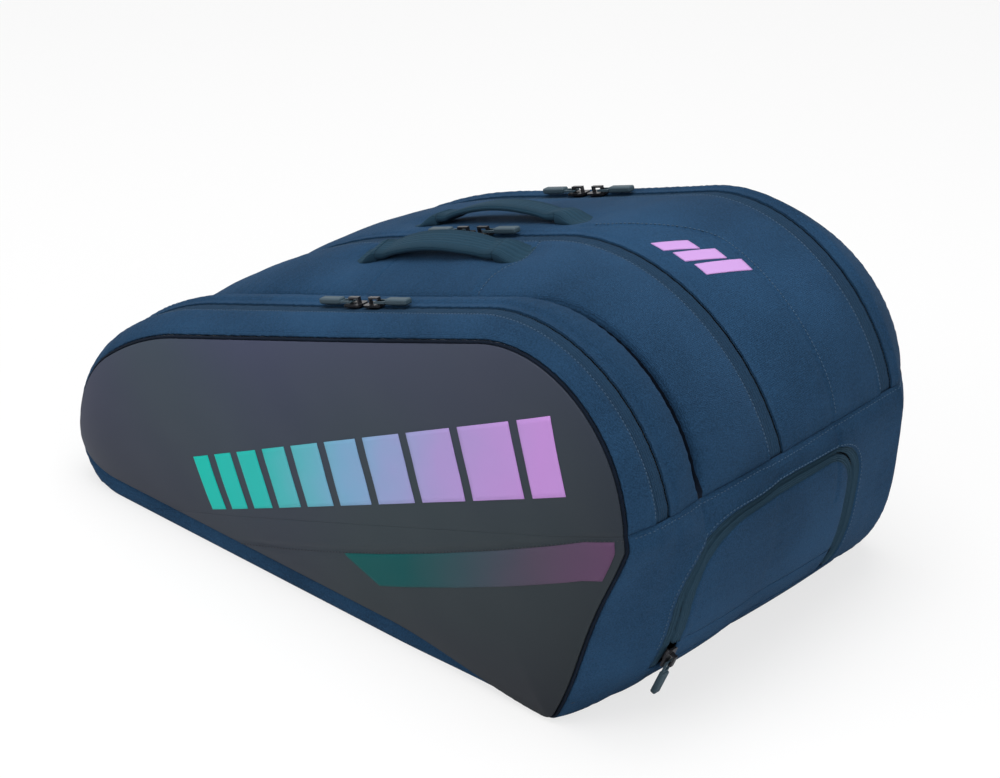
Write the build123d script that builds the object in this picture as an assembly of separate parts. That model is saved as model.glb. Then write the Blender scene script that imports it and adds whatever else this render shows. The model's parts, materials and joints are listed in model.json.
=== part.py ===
from build123d import *
import os
from math import atan, cos, degrees, radians, sin

# Racket tournament bag, millimetres. X runs from the narrow end to the wide end, Y from the
# front panel to the rear panel, Z up. The origin is on the floor under the middle of the bag.
# Every cross-section normal to Y is one smooth outline: a flat bottom, a rounded wide end, a
# sloping top and a rounded nose. "v" is height measured square to the slope of the top.

# ---------------------------------------------------------------- driving dimensions
length = 580.0            # outline length before the middle swells
height = 272.0            # outline height at the wide end
top_slope = 17.7          # degrees, fall of the top towards the nose
bottom_corner_radius = 22.0
split_setback = 14.0      # the end panel's seam, in from that corner
end_radius_start = 42.0   # heading in degrees where the wide end's arc begins
end_radius_stop = 108.0   # heading where it becomes the top corner
top_corner_radius = 115.0 # faces, and the tub under the fold
zip_1_corner = 127.0      # the same corner is rounder at each zip
zip_2_corner = 160.0
zip_3_corner = 138.0
crease_corner = 118.0
nose_radius = 46.0        # lower half of the nose
shoulder_radius = 450.0   # slow curve from the top down to the nose, over so many degrees:
front_shoulder = 2.0      # face and first zip
crease_shoulder = 6.0
zip_2_shoulder = 30.0
zip_3_shoulder = 28.0
rear_shoulder = 20.0

front_lid_depth = 44.0    # front face to first zip
front_pouch_depth = 34.0  # first zip to the crease
mid_block_depth = 86.0    # crease to second zip
rear_block_depth = 130.0  # second zip to third zip
rear_lid_depth = 50.0     # third zip to rear face

front_inset = 8.0         # how far each face is drawn in from the outline
rear_inset = 22.0
zip_1_swell = 3.0         # how far the blocks swell out at each zip
zip_2_swell = 6.0
zip_3_swell = 4.0
crease_inset = 2.0
tub_swell = 2.0           # one swell from zip to zip below the fold

wall = 5.0                # gusset: foam between two layers of cloth
face_thickness = 8.0      # padded front and rear faces
welt = 3.8                # piping round each face, along Y
divider_thickness = 4.0
lining = 1.5
board_thickness = 2.0
hem_height = 14.0         # strip turned up under each face
fold_height = 170.0       # the fold plane meets the wide end here,
fold_setback = 6.0        # this far inside its furthest point,
fold_nose_x = -212.0      # and comes down to the floor here

tape_width = 9.0          # one half of a zip
tape_thickness = 1.6
tape_drop = 1.0           # tape below the top of its coil
coil_width = 3.0
coil_height = 4.0
coil_gap = 2.0            # between the two rows of teeth

slider_length = 17.0
slider_width = 11.0
slider_plate = 1.6
slider_web = 1.2
slider_lift = 0.5         # plate above the coil
web_half = 5.1            # half the length of the web, and of the bridge on top
lower_inset = 0.9         # lower plate, in from the outline of the upper one
slider_pair_gap = 4.0     # between two sliders that meet nose to nose
zip_1_centre = 0.0        # x where the two sliders of each zip meet
zip_2_centre = -8.0
zip_3_centre = -11.0
bridge_height = 4.6
bridge_width = 3.0
bridge_bar = 1.3
pin_diameter = 1.6
pin_play = 0.6
puller_arm = 1.2
puller_play = 0.5         # each side of the bridge
puller_reach = 11.0       # pin to grip
puller_cross = 2.0        # bar at the link's end
grip_length = 22.0
grip_width = 7.0
grip_thickness = 4.4
grip_lift = 0.4
grip_round = 1.4
grip_seat = 0.05          # grip moulded on to the link's end

handle_span = 124.0
handle_rise = 15.0
handle_width = 32.0
handle_end_width = 18.0
handle_thickness = 5.0
handle_offset = 32.0      # from the second zip to the middle of each handle
handle_centre = -8.0      # x of the handles' middle
anchor_length = 26.0
anchor_thickness = 3.0
anchor_border = 2.0       # patch wider than the handle's end, each side
anchor_post = 4.0
handle_axis = 7.0         # height of the pins that the handle swings on
handle_pin = 5.0
handle_eye = 8.0          # length of the eye round each pin
handle_eye_wall = 2.6

door_front = 110.0        # shoe door, from the middle towards the front
door_rear = 72.0
door_bottom = 58.0        # the door folds down along this line
zip_foot = 36.0           # the zip runs on down to here, where its slider parks
door_top = 151.0
door_corner = 34.0
shoe_slider_z = 48.0      # where its slider rests when shut
shoe_zip_travel = 40.0    # the straight stretch it can run
shoe_slider_lift = 1.0    # above the curve, which bulges between the ends of that stretch
shoe_slider_drop = 2.4    # its lower plate further down, under the curve
pocket_depth = 70.0       # shoe pocket behind the door
pocket_slack = 12.0       # pocket wider than the door all round

recess_height = 15.0      # recess under the bag where the straps lie
recess_nose_end = -176.0
recess_wide_end = 168.0
recess_half_width = 104.0
strap_length = 216.0
strap_width = 62.0
strap_thickness = 8.0
strap_offset = 46.0       # each strap from the middle
webbing_width = 25.0
webbing_thickness = 1.5
webbing_length = 158.0    # from its tail to the hook
webbing_tail = 90.0       # how much of it lies under the pad
webbing_z = 3.3
buckle_length = 22.0
buckle_thickness = 6.0
buckle_rim = 2.0
buckle_below = 2.2        # its underside below the webbing's middle
hook_length = 20.0
hook_below = 2.0
hook_above = 3.0
hook_neck = 7.0           # webbing to the hook's throat
hook_tip = 4.0
hook_side = 3.0
strap_corner = 18.0
hinge_bar = 3.0           # sewn roll that a strap turns on
eye_wall = 1.7            # webbing wrapped round the roll
roll_setback = 8.0        # roll in from the recess's end
lug_width = 5.0
ring_setback = 9.0
ring_z = 4.0
ring_half = 6.0
ring_thickness = 2.4
tab_length = 2.5

clearance = 0.3           # between cloth pieces that are not joined
seat = 0.2                # between a piece and what it is sewn to
play = 0.4                # between loose strap parts

# ---------------------------------------------------------------- derived places
depth = front_lid_depth + front_pouch_depth + mid_block_depth + rear_block_depth + rear_lid_depth
front_y = -depth / 2
zip_1_y = front_y + front_lid_depth
crease_y = zip_1_y + front_pouch_depth
zip_2_y = crease_y + mid_block_depth
zip_3_y = zip_2_y + rear_block_depth
rear_y = depth / 2
thermal_divider_y = crease_y - divider_thickness / 2
middle_divider_y = (zip_2_y + zip_3_y) / 2 - 5
slope = Rot(0, -top_slope, 0)
s, c = sin(radians(top_slope)), cos(radians(top_slope))
fold_slope = degrees(atan(fold_height / (length / 2 - fold_setback - fold_nose_x)))
fold = Pos(fold_nose_x, 0, 0) * Rot(0, -fold_slope, 0)
far = 3 * (length + depth)


def outline_arcs(station):
    """Centre (x, z), radius and start and stop heading of each arc of a station's outline."""
    swell, top = station[1], station[1] + station[2]
    size_x, size_z = length + 2 * swell, height + swell
    corner = bottom_corner_radius
    start, stop = radians(end_radius_start), radians(end_radius_stop)
    end = (size_z - corner * (1 - cos(start)) - top * (1 + cos(stop))) / (cos(start) - cos(stop))
    end_c = (size_x / 2 - end, corner + (end - corner) * cos(start))
    corner_c = (end_c[0] + (end - corner) * sin(start), corner)
    top_c = (end_c[0] + (end - top) * sin(stop), end_c[1] - (end - top) * cos(stop))
    top_v = top_c[1] * c - top_c[0] * s + top
    turn = radians(station[3])
    upper = top_v - size_x / 2 * s - nose_radius * c - shoulder_radius * (1 - cos(turn))
    upper /= cos(turn) - s
    upper_c = (upper - size_x / 2, nose_radius)
    shoulder_stop = 180 + top_slope + station[3]
    inward = radians(shoulder_stop)
    shoulder_c = (upper_c[0] - (shoulder_radius - upper) * sin(inward),
                  upper_c[1] + (shoulder_radius - upper) * cos(inward))
    lower_c = (nose_radius - size_x / 2, nose_radius)
    return [
        (corner_c, corner, 0, end_radius_start),
        (end_c, end, end_radius_start, end_radius_stop),
        (top_c, top, end_radius_stop, 180 + top_slope),
        (shoulder_c, shoulder_radius, 180 + top_slope, shoulder_stop),
        (upper_c, upper, shoulder_stop, 270),
        (lower_c, nose_radius, 270, 360),
    ]


def top_height(station):
    """v of the straight stretch of a station's top."""
    (x, z), radius = outline_arcs(station)[2][:2]
    return z * c - x * s + radius


def on_top(x, y, v):
    """Location on the sloping top above x, at height v, with its own X along the slope."""
    return slope * Pos((x + v * s) / c, y, v)


def end_x(z, station):
    """X of the wide end's surface at height z."""
    (x, zc), radius = outline_arcs(station)[1][:2]
    return x + (radius**2 - (z - zc) ** 2) ** 0.5


def outline(station, inset=0.0):
    """A station's closed wire, drawn in by inset all round."""
    def at(arc, heading):
        (x, z), radius = arc[:2]
        turn = radians(heading)
        return Vector(x + (radius - inset) * sin(turn), station[0], z - (radius - inset) * cos(turn))

    edges, arcs = [], outline_arcs(station)
    for i, arc in enumerate(arcs):
        start, stop = arc[2], arc[3]
        edges.append(Edge.make_three_point_arc(at(arc, start), at(arc, (start + stop) / 2), at(arc, stop)))
        follower = arcs[(i + 1) % len(arcs)]
        if (at(arc, stop) - at(follower, follower[2])).length > 1e-6:
            edges.append(Edge.make_line(at(arc, stop), at(follower, follower[2])))
    return Wire(edges)


def plug(stations, inset=0.0):
    """Solid through the outlines of several stations."""
    return Solid.make_loft([outline(station, inset) for station in stations], True)


def beyond(first, last):
    """Station 1 mm further out than first, on the line from last."""
    share = 1 / abs(last[0] - first[0])
    return tuple(a + (a - b) * share for a, b in zip(first, last))


def shell(stations, outer=0.0, inner=wall):
    """Tube of cloth through the stations, between two insets."""
    first, last = stations[0], stations[-1]
    longer = [beyond(first, stations[1]), *stations[1:-1], beyond(last, stations[-2])]
    return plug(stations, outer) - plug(longer, inner)


def band(station, thickness, outer, inner):
    """Prismatic ring between two insets, from the station towards +Y."""
    return extrude(Face(outline(station, outer)) - Face(outline(station, inner)), thickness, dir=(0, 1, 0))


def block(x, y, z):
    """Box from three (low, high) pairs."""
    size = [high - low for low, high in (x, y, z)]
    middle = [(high + low) / 2 for low, high in (x, y, z)]
    return Pos(*middle) * Box(*size)


def above_fold(shape, gap=clearance / 2):
    return shape & fold * block((-far, far), (-far, far), (gap, far))


def below_fold(shape, gap=clearance / 2):
    return shape & fold * block((-far, far), (-far, far), (-far, -gap))


parts = {}


def keep(name, *shapes):
    """Store a node as one solid, or as a compound of separate solids."""
    solids = [solid for shape in shapes for solid in shape.solids()]
    parts[name] = solids[0] if len(solids) == 1 else Compound(children=solids)


# ---------------------------------------------- stations: y, swell, top corner, shoulder's degrees
def at_front(y):
    return (y, -front_inset, top_corner_radius, front_shoulder)


def at_rear(y):
    return (y, -rear_inset, top_corner_radius, rear_shoulder)


def at_zip(number, side):
    """Station at the front (-1) or rear (1) edge of a zip, or in its middle (0)."""
    return (zips[number][0] + side * tape_width, *zips[number][1:])


zips = {1: (zip_1_y, zip_1_swell, zip_1_corner, front_shoulder),
        2: (zip_2_y, zip_2_swell, zip_2_corner, zip_2_shoulder),
        3: (zip_3_y, zip_3_swell, zip_3_corner, zip_3_shoulder)}
front_ring_y = front_y + welt
rear_ring_y = rear_y - welt
face_front, face_rear = at_front(front_ring_y), at_rear(rear_ring_y)
crease = (crease_y, -crease_inset, crease_corner, crease_shoulder)
upper_stations = [face_front, at_zip(1, -1), at_zip(1, 1), crease, at_zip(2, -1), at_zip(2, 1),
                  at_zip(3, -1), at_zip(3, 1), face_rear]
tub_middle = (0.0, tub_swell, top_corner_radius, rear_shoulder)
tub_stations = [face_front, (zip_1_y - tape_width, *tub_middle[1:]),
                (zip_3_y + tape_width, *tub_middle[1:]), face_rear]
panel_inset = wall + seat


def top_at(y):
    """v of the top at depth y, and the angle at which it rises towards +Y."""
    for first, last in zip(upper_stations, upper_stations[1:]):
        if first[0] <= y <= last[0]:
            rate = (top_height(last) - top_height(first)) / (last[0] - first[0])
            return top_height(first) + rate * (y - first[0]), degrees(atan(rate))
    raise ValueError("outside the cloth")


# ---------------------------------------------------------------- shoe door
def door_shape(offset):
    """Door seen from the wide end, grown by offset, extruded through the bag's wide end."""
    low, high = -door_front - offset, door_rear + offset
    top, corner = door_top + offset, door_corner + offset
    with BuildSketch(Plane.YZ) as sketch:
        with BuildLine():
            Polyline((high, door_bottom), (high, top - corner))
            RadiusArc((high, top - corner), (high - corner, top), -corner)
            Line((high - corner, top), (low + corner, top))
            RadiusArc((low + corner, top), (low, top - corner), -corner)
            Polyline((low, top - corner), (low, door_bottom), (high, door_bottom))
        make_face()
    return extrude(sketch.sketch, far)


def zip_foot_strip(near, away):
    """The fixed end of the zip under the door's front corner: both strips between two offsets."""
    strips = [block((0, far), (-door_front + side * near, -door_front + side * away)
                    if side > 0 else (-door_front - away, -door_front - near),
                    (zip_foot, door_bottom)) for side in (-1, 1)]
    return strips[0] + strips[1]


def end_skin(outer, inner):
    """The wide end's wall between two insets, as far as the fold."""
    return below_fold(shell(tub_stations, outer, inner)) & block((0, far), (-far, far), (0, far))


def shoe_pocket():
    """Parts of the wide end: door, both halves of its zip, and the pocket behind it."""
    half_gap = coil_gap / 2
    tape = end_skin(tape_drop, tape_drop + tape_thickness)
    coil = end_skin(0.0, coil_height)
    above = block((0, far), (-far, far), (door_bottom + clearance, far))
    outer_tape = tape & (door_shape(tape_width - seat) - door_shape(half_gap))
    outer_coil = coil & (door_shape(half_gap + coil_width) - door_shape(half_gap))
    foot = (tape & zip_foot_strip(half_gap, tape_width - seat)) + (
        coil & zip_foot_strip(half_gap, half_gap + coil_width))
    inner_tape = tape & (door_shape(-half_gap) - door_shape(seat - tape_width))
    inner_coil = coil & (door_shape(-half_gap) - door_shape(-half_gap - coil_width))
    keep("shoe_zip_tape_frame", outer_tape + outer_coil + foot)
    keep("shoe_zip_tape_door", (inner_tape + inner_coil) & above)
    keep("shoe_door_panel", end_skin(0.0, wall) & door_shape(-tape_width) & above)

    low_y, high_y = -door_front - pocket_slack, door_rear + pocket_slack
    low_z = zip_foot - pocket_slack / 2
    back_x = end_x(door_top, tub_middle) - pocket_depth
    room = block((back_x, far), (low_y, high_y), (low_z, far))
    hollow = block((back_x + lining, far), (low_y + lining, high_y - lining), (low_z + lining, far))
    liner = (below_fold(plug(tub_stations, panel_inset)) & room) - below_fold(hollow, clearance / 2 + lining)
    keep("shoe_pocket_liner", liner)
    return below_fold(block((back_x - clearance, far), (low_y - clearance, high_y + clearance),
                            (low_z - clearance, far)), -clearance / 2)


# ---------------------------------------------------------------- tub: everything below the fold
def tub():
    split_x = outline_arcs(tub_middle)[0][0][0] - split_setback
    skin = below_fold(shell(tub_stations))
    hem_front = block((-far, far), (front_y, front_ring_y), (0, hem_height))
    hem_rear = block((-far, far), (rear_ring_y, rear_y), (0, hem_height))
    wide = block((split_x + seat / 2, far), (-far, far), (-1, far))
    narrow = block((-far, split_x - seat / 2), (-far, far), (-1, far))
    recess = block((recess_nose_end, recess_wide_end), (-recess_half_width, recess_half_width),
                   (-1, recess_height))
    front_band = below_fold(band(at_front(front_y), welt, 0, wall))
    rear_band = below_fold(band(face_rear, welt, 0, wall))
    hem = (front_band & hem_front) + (rear_band & hem_rear)
    keep("bottom_panel", ((skin & narrow) + (hem & narrow)) - recess)
    keep("end_panel", (skin & wide) + (hem & wide) - door_shape(tape_width) - zip_foot_strip(0, tape_width))
    above_hem = block((-far, far), (-far, far), (hem_height + seat, far))
    keep("front_lower_welt", front_band & above_hem)
    keep("rear_lower_welt", rear_band & above_hem)
    keep("front_lower_panel", below_fold(face_plate(at_front(front_y))))
    keep("rear_lower_panel", below_fold(face_plate(at_rear(rear_y - face_thickness))))
    liner_wall = block(
        (recess_nose_end + seat, recess_wide_end - seat),
        (-recess_half_width + seat, recess_half_width - seat), (0.5, recess_height))
    liner_room = block(
        (recess_nose_end + lining, recess_wide_end - lining),
        (-recess_half_width + lining, recess_half_width - lining), (-1, recess_height - lining))
    keep("strap_recess_lining", liner_wall - liner_room)


def face_plate(station):
    """Padded face inside its welt, from the station towards +Y."""
    return extrude(Face(outline(station, panel_inset)), face_thickness, dir=(0, 1, 0))


# ---------------------------------------------------------------- gussets and zips above the fold
def zip_half(number, side):
    """Tape and coil on one side of a zip; side is -1 towards the front, 1 towards the rear."""
    y = zips[number][0]

    def strip(near, away, outer, inner):
        start = min(y + side * near, y + side * away)
        return band((start, *zips[number][1:]), away - near, outer, inner)

    edge = coil_gap / 2
    tape = strip(edge, tape_width - seat, tape_drop, tape_drop + tape_thickness)
    coil = strip(edge, edge + coil_width, 0.0, coil_height)
    return above_fold(tape + coil)


def upper_cloth():
    keep("front_panel_upper", above_fold(face_plate(at_front(front_y))))
    keep("front_upper_welt", above_fold(band(at_front(front_y), welt, 0, wall)))
    keep("front_lid_gusset", above_fold(shell([face_front, at_zip(1, -1)])))
    keep("front_pouch_gusset", above_fold(shell([at_zip(1, 1), (crease_y - seat / 2, *crease[1:])])))
    keep("mid_gusset", above_fold(shell([(crease_y + seat / 2, *crease[1:]), at_zip(2, -1)])))
    keep("rear_block_gusset", above_fold(shell([at_zip(2, 1), at_zip(3, -1)])))
    keep("rear_lid_gusset", above_fold(shell([at_zip(3, 1), face_rear])))
    keep("rear_panel_upper", above_fold(face_plate(at_rear(rear_y - face_thickness))))
    keep("rear_upper_welt", above_fold(band(face_rear, welt, 0, wall)))
    for number in zips:
        keep(f"zip_{number}_tape_front", zip_half(number, -1))
        keep(f"zip_{number}_tape_rear", zip_half(number, 1))


def inner_walls(pocket_space):
    """Dividers, linings and the stiff board."""
    board_z = recess_height + seat
    floor_z = board_z + board_thickness
    upper = plug(upper_stations, panel_inset)
    lower = plug(tub_stations, panel_inset) - pocket_space

    def slab(y, thickness):
        return block((-far, far), (y, y + thickness), (floor_z + seat, far))

    thermal = slab(thermal_divider_y - divider_thickness / 2, divider_thickness)
    keep("thermal_divider_upper", above_fold(upper) & thermal)
    keep("thermal_divider_lower", below_fold(lower) & thermal)
    foil = slab(thermal_divider_y - divider_thickness / 2 - seat - lining, lining)
    keep("thermal_lining", above_fold(upper) & foil)
    middle = slab(middle_divider_y - divider_thickness / 2, divider_thickness)
    keep("middle_divider", (above_fold(upper, 0) & middle) + (below_fold(lower, 0) & middle))
    keep("lid_lining", above_fold(upper) & slab(front_y + face_thickness + seat, lining))
    board = block((-far, far), (front_y + face_thickness + seat, rear_y - face_thickness - seat),
                  (board_z, floor_z))
    keep("base_board", below_fold(lower) & board)


# ---------------------------------------------------------------- sliders and pullers
def slider(side, extra=0.0):
    """Slider with the coil's top at v = 0; side says which half of the zip its lower plate holds,
    and extra is how much further down that plate lies."""
    half, half_width = slider_length / 2, slider_width / 2
    base = slider_lift + slider_plate
    top = block((-half, half), (-half_width, half_width), (slider_lift, base))
    top = fillet(top.edges().filter_by(Axis.Z), half_width / 2)
    lower_top = -coil_height - slider_lift - extra
    web = block((-web_half, web_half), (-slider_web / 2, slider_web / 2),
                (lower_top - slider_plate, slider_lift))
    lower_y = sorted((side * slider_web / 2, side * (half_width - lower_inset)))
    lower = block((lower_inset - half, half - lower_inset), lower_y, (lower_top - slider_plate, lower_top))
    bridge = block((-web_half, web_half), (-bridge_width / 2, bridge_width / 2),
                   (base, base + bridge_height))
    window = block((bridge_bar - web_half, web_half - bridge_bar), (-far, far),
                   (base, base + bridge_height - bridge_bar))
    return top + web + lower + (bridge - window)


def pin_place(outward):
    """Where the puller's pin turns, in the slider's own frame."""
    u = outward * (web_half - bridge_bar - pin_diameter / 2 - pin_play)
    v = slider_lift + slider_plate + pin_diameter / 2 + pin_play
    return u, v


def puller(outward):
    """Pin, link and grip, lying flat and pointing outward."""
    u, v = pin_place(outward)
    arm_y = bridge_width / 2 + puller_play
    half_pin = arm_y + puller_arm
    level = (v - pin_diameter / 2, v + pin_diameter / 2)
    pin = Pos(u, 0, v) * Rot(90, 0, 0) * Cylinder(pin_diameter / 2, 2 * half_pin)
    link_end = u + outward * puller_reach
    arms = [block(sorted((u, link_end)), sorted((side * arm_y, side * half_pin)), level)
            for side in (-1, 1)]
    cross = block(sorted((link_end - outward * puller_cross, link_end)), (-half_pin, half_pin), level)
    grip = block(sorted((link_end + outward * grip_seat, link_end + outward * grip_length)),
                 (-grip_width / 2, grip_width / 2),
                 (v + grip_lift - grip_thickness / 2, v + grip_lift + grip_thickness / 2))
    return pin + arms[0] + arms[1] + cross, fillet(grip.edges(), grip_round)


def zip_hardware():
    """Two sliders per zip, nose to nose, each with its puller."""
    reach = (slider_length + slider_pair_gap) / 2
    for number, side, centre in ((1, -1, zip_1_centre), (2, -1, zip_2_centre), (3, 1, zip_3_centre)):
        station = at_zip(number, 0)
        for label, outward in (("nose", -1), ("wide", 1)):
            place = on_top(centre, station[0], top_height(station)) * Pos(outward * reach, 0, 0)
            keep(f"zip_{number}_slider_{label}", place * slider(side))
            link, grip = puller(outward)
            keep(f"zip_{number}_puller_{label}", place * link, place * grip)


def shoe_zip_hardware():
    """Slider and puller on the shoe door's front edge, set along the wide end's curve."""
    low = end_x(shoe_slider_z, tub_middle)
    high = end_x(shoe_slider_z + shoe_zip_travel, tub_middle)
    lean = Vector(high - low, 0, shoe_zip_travel).normalized()
    frame = Plane(origin=(low, -door_front, shoe_slider_z), x_dir=lean, z_dir=Vector(0, 1, 0).cross(lean))
    place = Location(frame) * Pos(0, 0, shoe_slider_lift)
    keep("shoe_slider", place * slider(1, shoe_slider_drop))
    link, grip = puller(-1)
    keep("shoe_puller", place * link, place * grip)


# ---------------------------------------------------------------- handles
def arch_face(half, foot, rise, thickness):
    """Side view of an arched handle."""
    inner = half - thickness
    with BuildSketch(Plane.XZ) as sketch:
        with BuildLine():
            ThreePointArc((-half, foot), (0, foot + rise), (half, foot))
            Line((half, foot), (inner, foot))
            ThreePointArc((inner, foot), (0, foot + rise - thickness), (-inner, foot))
            Line((-inner, foot), (-half, foot))
        make_face()
    return sketch.sketch


def rod(radius, x_0, x_1, v):
    """Round bar along X at height v."""
    return Pos((x_0 + x_1) / 2, 0, v) * Rot(0, 90, 0) * Cylinder(radius, abs(x_1 - x_0))


def handles():
    """Arched carrying handles, each with an eye at both ends that turns on a sewn-in pin."""
    half, end_half, middle_half = handle_span / 2, handle_end_width / 2, handle_width / 2
    corners = [(-half, -end_half), (-half / 2, -middle_half), (half / 2, -middle_half), (half, -end_half),
               (half, end_half), (half / 2, middle_half), (-half / 2, middle_half), (-half, end_half)]
    seen_from_above = extrude(make_face(Polyline(*corners, close=True).edges()), far)
    handle = extrude(arch_face(half, handle_axis, handle_rise, handle_thickness), far, both=True)
    handle &= seen_from_above
    hole_radius = handle_pin / 2 + clearance
    eye_inner = half - handle_eye
    for end in (-1, 1):
        handle += rod(hole_radius + handle_eye_wall, end * half, end * eye_inner, handle_axis)
    for end in (-1, 1):
        handle -= rod(hole_radius, end * (half + 1), end * (eye_inner - 1), handle_axis)
    patch_half = end_half + anchor_border
    for name, side in (("front", -1), ("rear", 1)):
        y = zip_2_y + side * handle_offset
        v, tilt = top_at(y)
        place = on_top(handle_centre, y, v + seat) * Rot(tilt, 0, 0)
        keep(f"handle_{name}", place * handle)
        anchors = []
        for end in (-1, 1):
            start, post_end = end * (half + clearance), end * (half + anchor_post)
            patch = block(sorted((start, end * (half + anchor_length))), (-patch_half, patch_half),
                          (0, anchor_thickness))
            post = block(sorted((start, post_end)), (-end_half, end_half),
                         (0, handle_axis + handle_pin / 2 + 1))
            pin = rod(handle_pin / 2, post_end, end * eye_inner, handle_axis)
            anchors.append(place * (patch + post + pin))
        keep(f"handle_anchors_{name}", *anchors)


# ---------------------------------------------------------------- straps under the bag
def slot(x, y, z, size):
    """Box from its middle and its size, for a hole."""
    return Pos(x, y, z) * Box(*size)


def strap_buckle(x, half_web):
    """Ladder buckle with a channel for the webbing and two windows over it."""
    body = block((x, x + buckle_length), (-half_web - buckle_rim, half_web + buckle_rim),
                 (webbing_z - buckle_below, webbing_z - buckle_below + buckle_thickness))
    gap = webbing_thickness / 2 + clearance
    body -= block((-far, far), (-half_web - play, half_web + play), (webbing_z - gap, webbing_z + gap))
    window = (buckle_length - 3 * buckle_rim) / 2
    for start in (x + buckle_rim, x + 2 * buckle_rim + window):
        body -= block((start, start + window), (-half_web, half_web), (webbing_z, far))
    return body


def strap_hook(x, half_web):
    """Open hook at the webbing's end."""
    body = block((x - 1, x + hook_length), (-half_web - 1, half_web + 1),
                 (webbing_z - hook_below, webbing_z + hook_above))
    throat = block((x + hook_neck, x + hook_length - hook_tip), (hook_side - half_web, far), (-far, far))
    return body - throat


def straps():
    """Padded shoulder straps in the recess: each hangs on a sewn roll at the nose end, and its
    webbing runs through a ladder buckle to a hook that clips to a ring at the wide end."""
    top_z = recess_height - lining
    pad_top = top_z - clearance
    roll_x = recess_nose_end + lining + roll_setback
    eye_radius = hinge_bar / 2 + clearance + eye_wall
    roll_z = pad_top - eye_radius
    half_web = webbing_width / 2
    tail_x = strap_length - webbing_tail
    hook_x = tail_x + webbing_length
    ring_x = recess_wide_end - lining - ring_setback
    pins, rings = [], []
    for label, side in (("front", -1), ("rear", 1)):
        place = Pos(roll_x, side * strap_offset, 0)
        bore = Cylinder(hinge_bar / 2 + clearance, webbing_width)
        eye = Pos(0, 0, roll_z) * Rot(90, 0, 0) * (Cylinder(eye_radius, webbing_width) - bore)
        pad = block((eye_radius + 1, strap_length), (-strap_width / 2, strap_width / 2),
                    (pad_top - strap_thickness, pad_top))
        pad = fillet(pad.edges().filter_by(Axis.Z), strap_corner)
        neck = block((eye_radius - play, eye_radius + 2), (-half_web, half_web), (roll_z - 1, roll_z + 1))
        keep(f"strap_pad_{label}", place * (pad + neck + eye))
        keep(f"strap_buckle_{label}", place * strap_buckle(strap_length + seat, half_web))
        webbing = block((tail_x, hook_x), (-half_web, half_web),
                        (webbing_z - webbing_thickness / 2, webbing_z + webbing_thickness / 2))
        keep(f"strap_webbing_{label}", place * (webbing + strap_hook(hook_x, half_web)))

        pin = Pos(0, 0, roll_z) * Rot(90, 0, 0) * Cylinder(hinge_bar / 2, webbing_width + 2 * lug_width)
        for end in (-1, 1):
            lug_y = sorted((end * (half_web + 1.5), end * (half_web + lug_width)))
            pin += block((-lug_width / 2, lug_width / 2), lug_y, (roll_z - lug_width / 2, top_z - seat))
        pins.append(place * pin)
        ring_at = (ring_x, side * strap_offset, ring_z)
        ring = slot(*ring_at, (2 * ring_half, webbing_width + 4, ring_thickness))
        ring -= slot(*ring_at, (2 * (ring_half - ring_thickness), webbing_width, far))
        tab = block((ring_x + ring_half / 2, ring_x + ring_half + tab_length),
                    sorted(side * strap_offset + end * (half_web - 2) for end in (-1, 1)),
                    (ring_z - 2, top_z - seat))
        bar = slot(ring_x + ring_half - ring_thickness / 2, *ring_at[1:],
                   (ring_thickness + 2 * play, webbing_width, ring_thickness + 2 * play))
        rings += [ring, tab - bar]
    keep("strap_rolls", *pins)
    keep("strap_rings", *rings)


pocket_space = shoe_pocket()
tub()
upper_cloth()
inner_walls(pocket_space)
zip_hardware()
shoe_zip_hardware()
handles()
straps()

os.makedirs("parts", exist_ok=True)
for name, shape in parts.items():
    export_step(shape, f"parts/{name}.step")
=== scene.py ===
# %% [markdown]
# # A racket tournament bag
# This lesson builds the looks of a wide racket bag around a fixed technical model. The bag is a
# soft box: two flat faces of one outline, and between them a long strip of cloth, the gusset,
# that three zips cut into pillows. Each step says what a piece is on the real bag and how its
# surface is worked out.

# %% The fixed model
import math
import json

import bpy
import numpy as np
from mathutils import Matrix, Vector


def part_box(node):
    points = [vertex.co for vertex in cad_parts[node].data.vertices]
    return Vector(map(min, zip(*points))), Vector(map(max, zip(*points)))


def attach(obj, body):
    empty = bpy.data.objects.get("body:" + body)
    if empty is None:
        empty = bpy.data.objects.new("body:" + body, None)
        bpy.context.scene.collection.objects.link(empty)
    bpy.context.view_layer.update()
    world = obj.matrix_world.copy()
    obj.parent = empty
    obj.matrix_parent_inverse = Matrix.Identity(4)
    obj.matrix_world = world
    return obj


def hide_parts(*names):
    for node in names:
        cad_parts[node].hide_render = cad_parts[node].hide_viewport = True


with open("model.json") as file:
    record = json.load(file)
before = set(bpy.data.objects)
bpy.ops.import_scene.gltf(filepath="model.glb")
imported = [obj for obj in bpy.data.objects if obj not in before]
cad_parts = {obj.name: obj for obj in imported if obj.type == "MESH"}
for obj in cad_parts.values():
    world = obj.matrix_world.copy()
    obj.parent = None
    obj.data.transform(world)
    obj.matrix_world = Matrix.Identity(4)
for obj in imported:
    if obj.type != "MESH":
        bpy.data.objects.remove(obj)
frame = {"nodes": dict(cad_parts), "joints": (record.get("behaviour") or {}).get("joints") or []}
bpy.context.view_layer.update()
nodes = frame["nodes"]

# %% [markdown]
# ## Camera, floor and light
# The bag stands on a pale floor. A product picture wants a long lens, so that the far end is
# hardly smaller than the near one, and large lamps, so that the cloth shows its folds without
# hard shadows.

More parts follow.
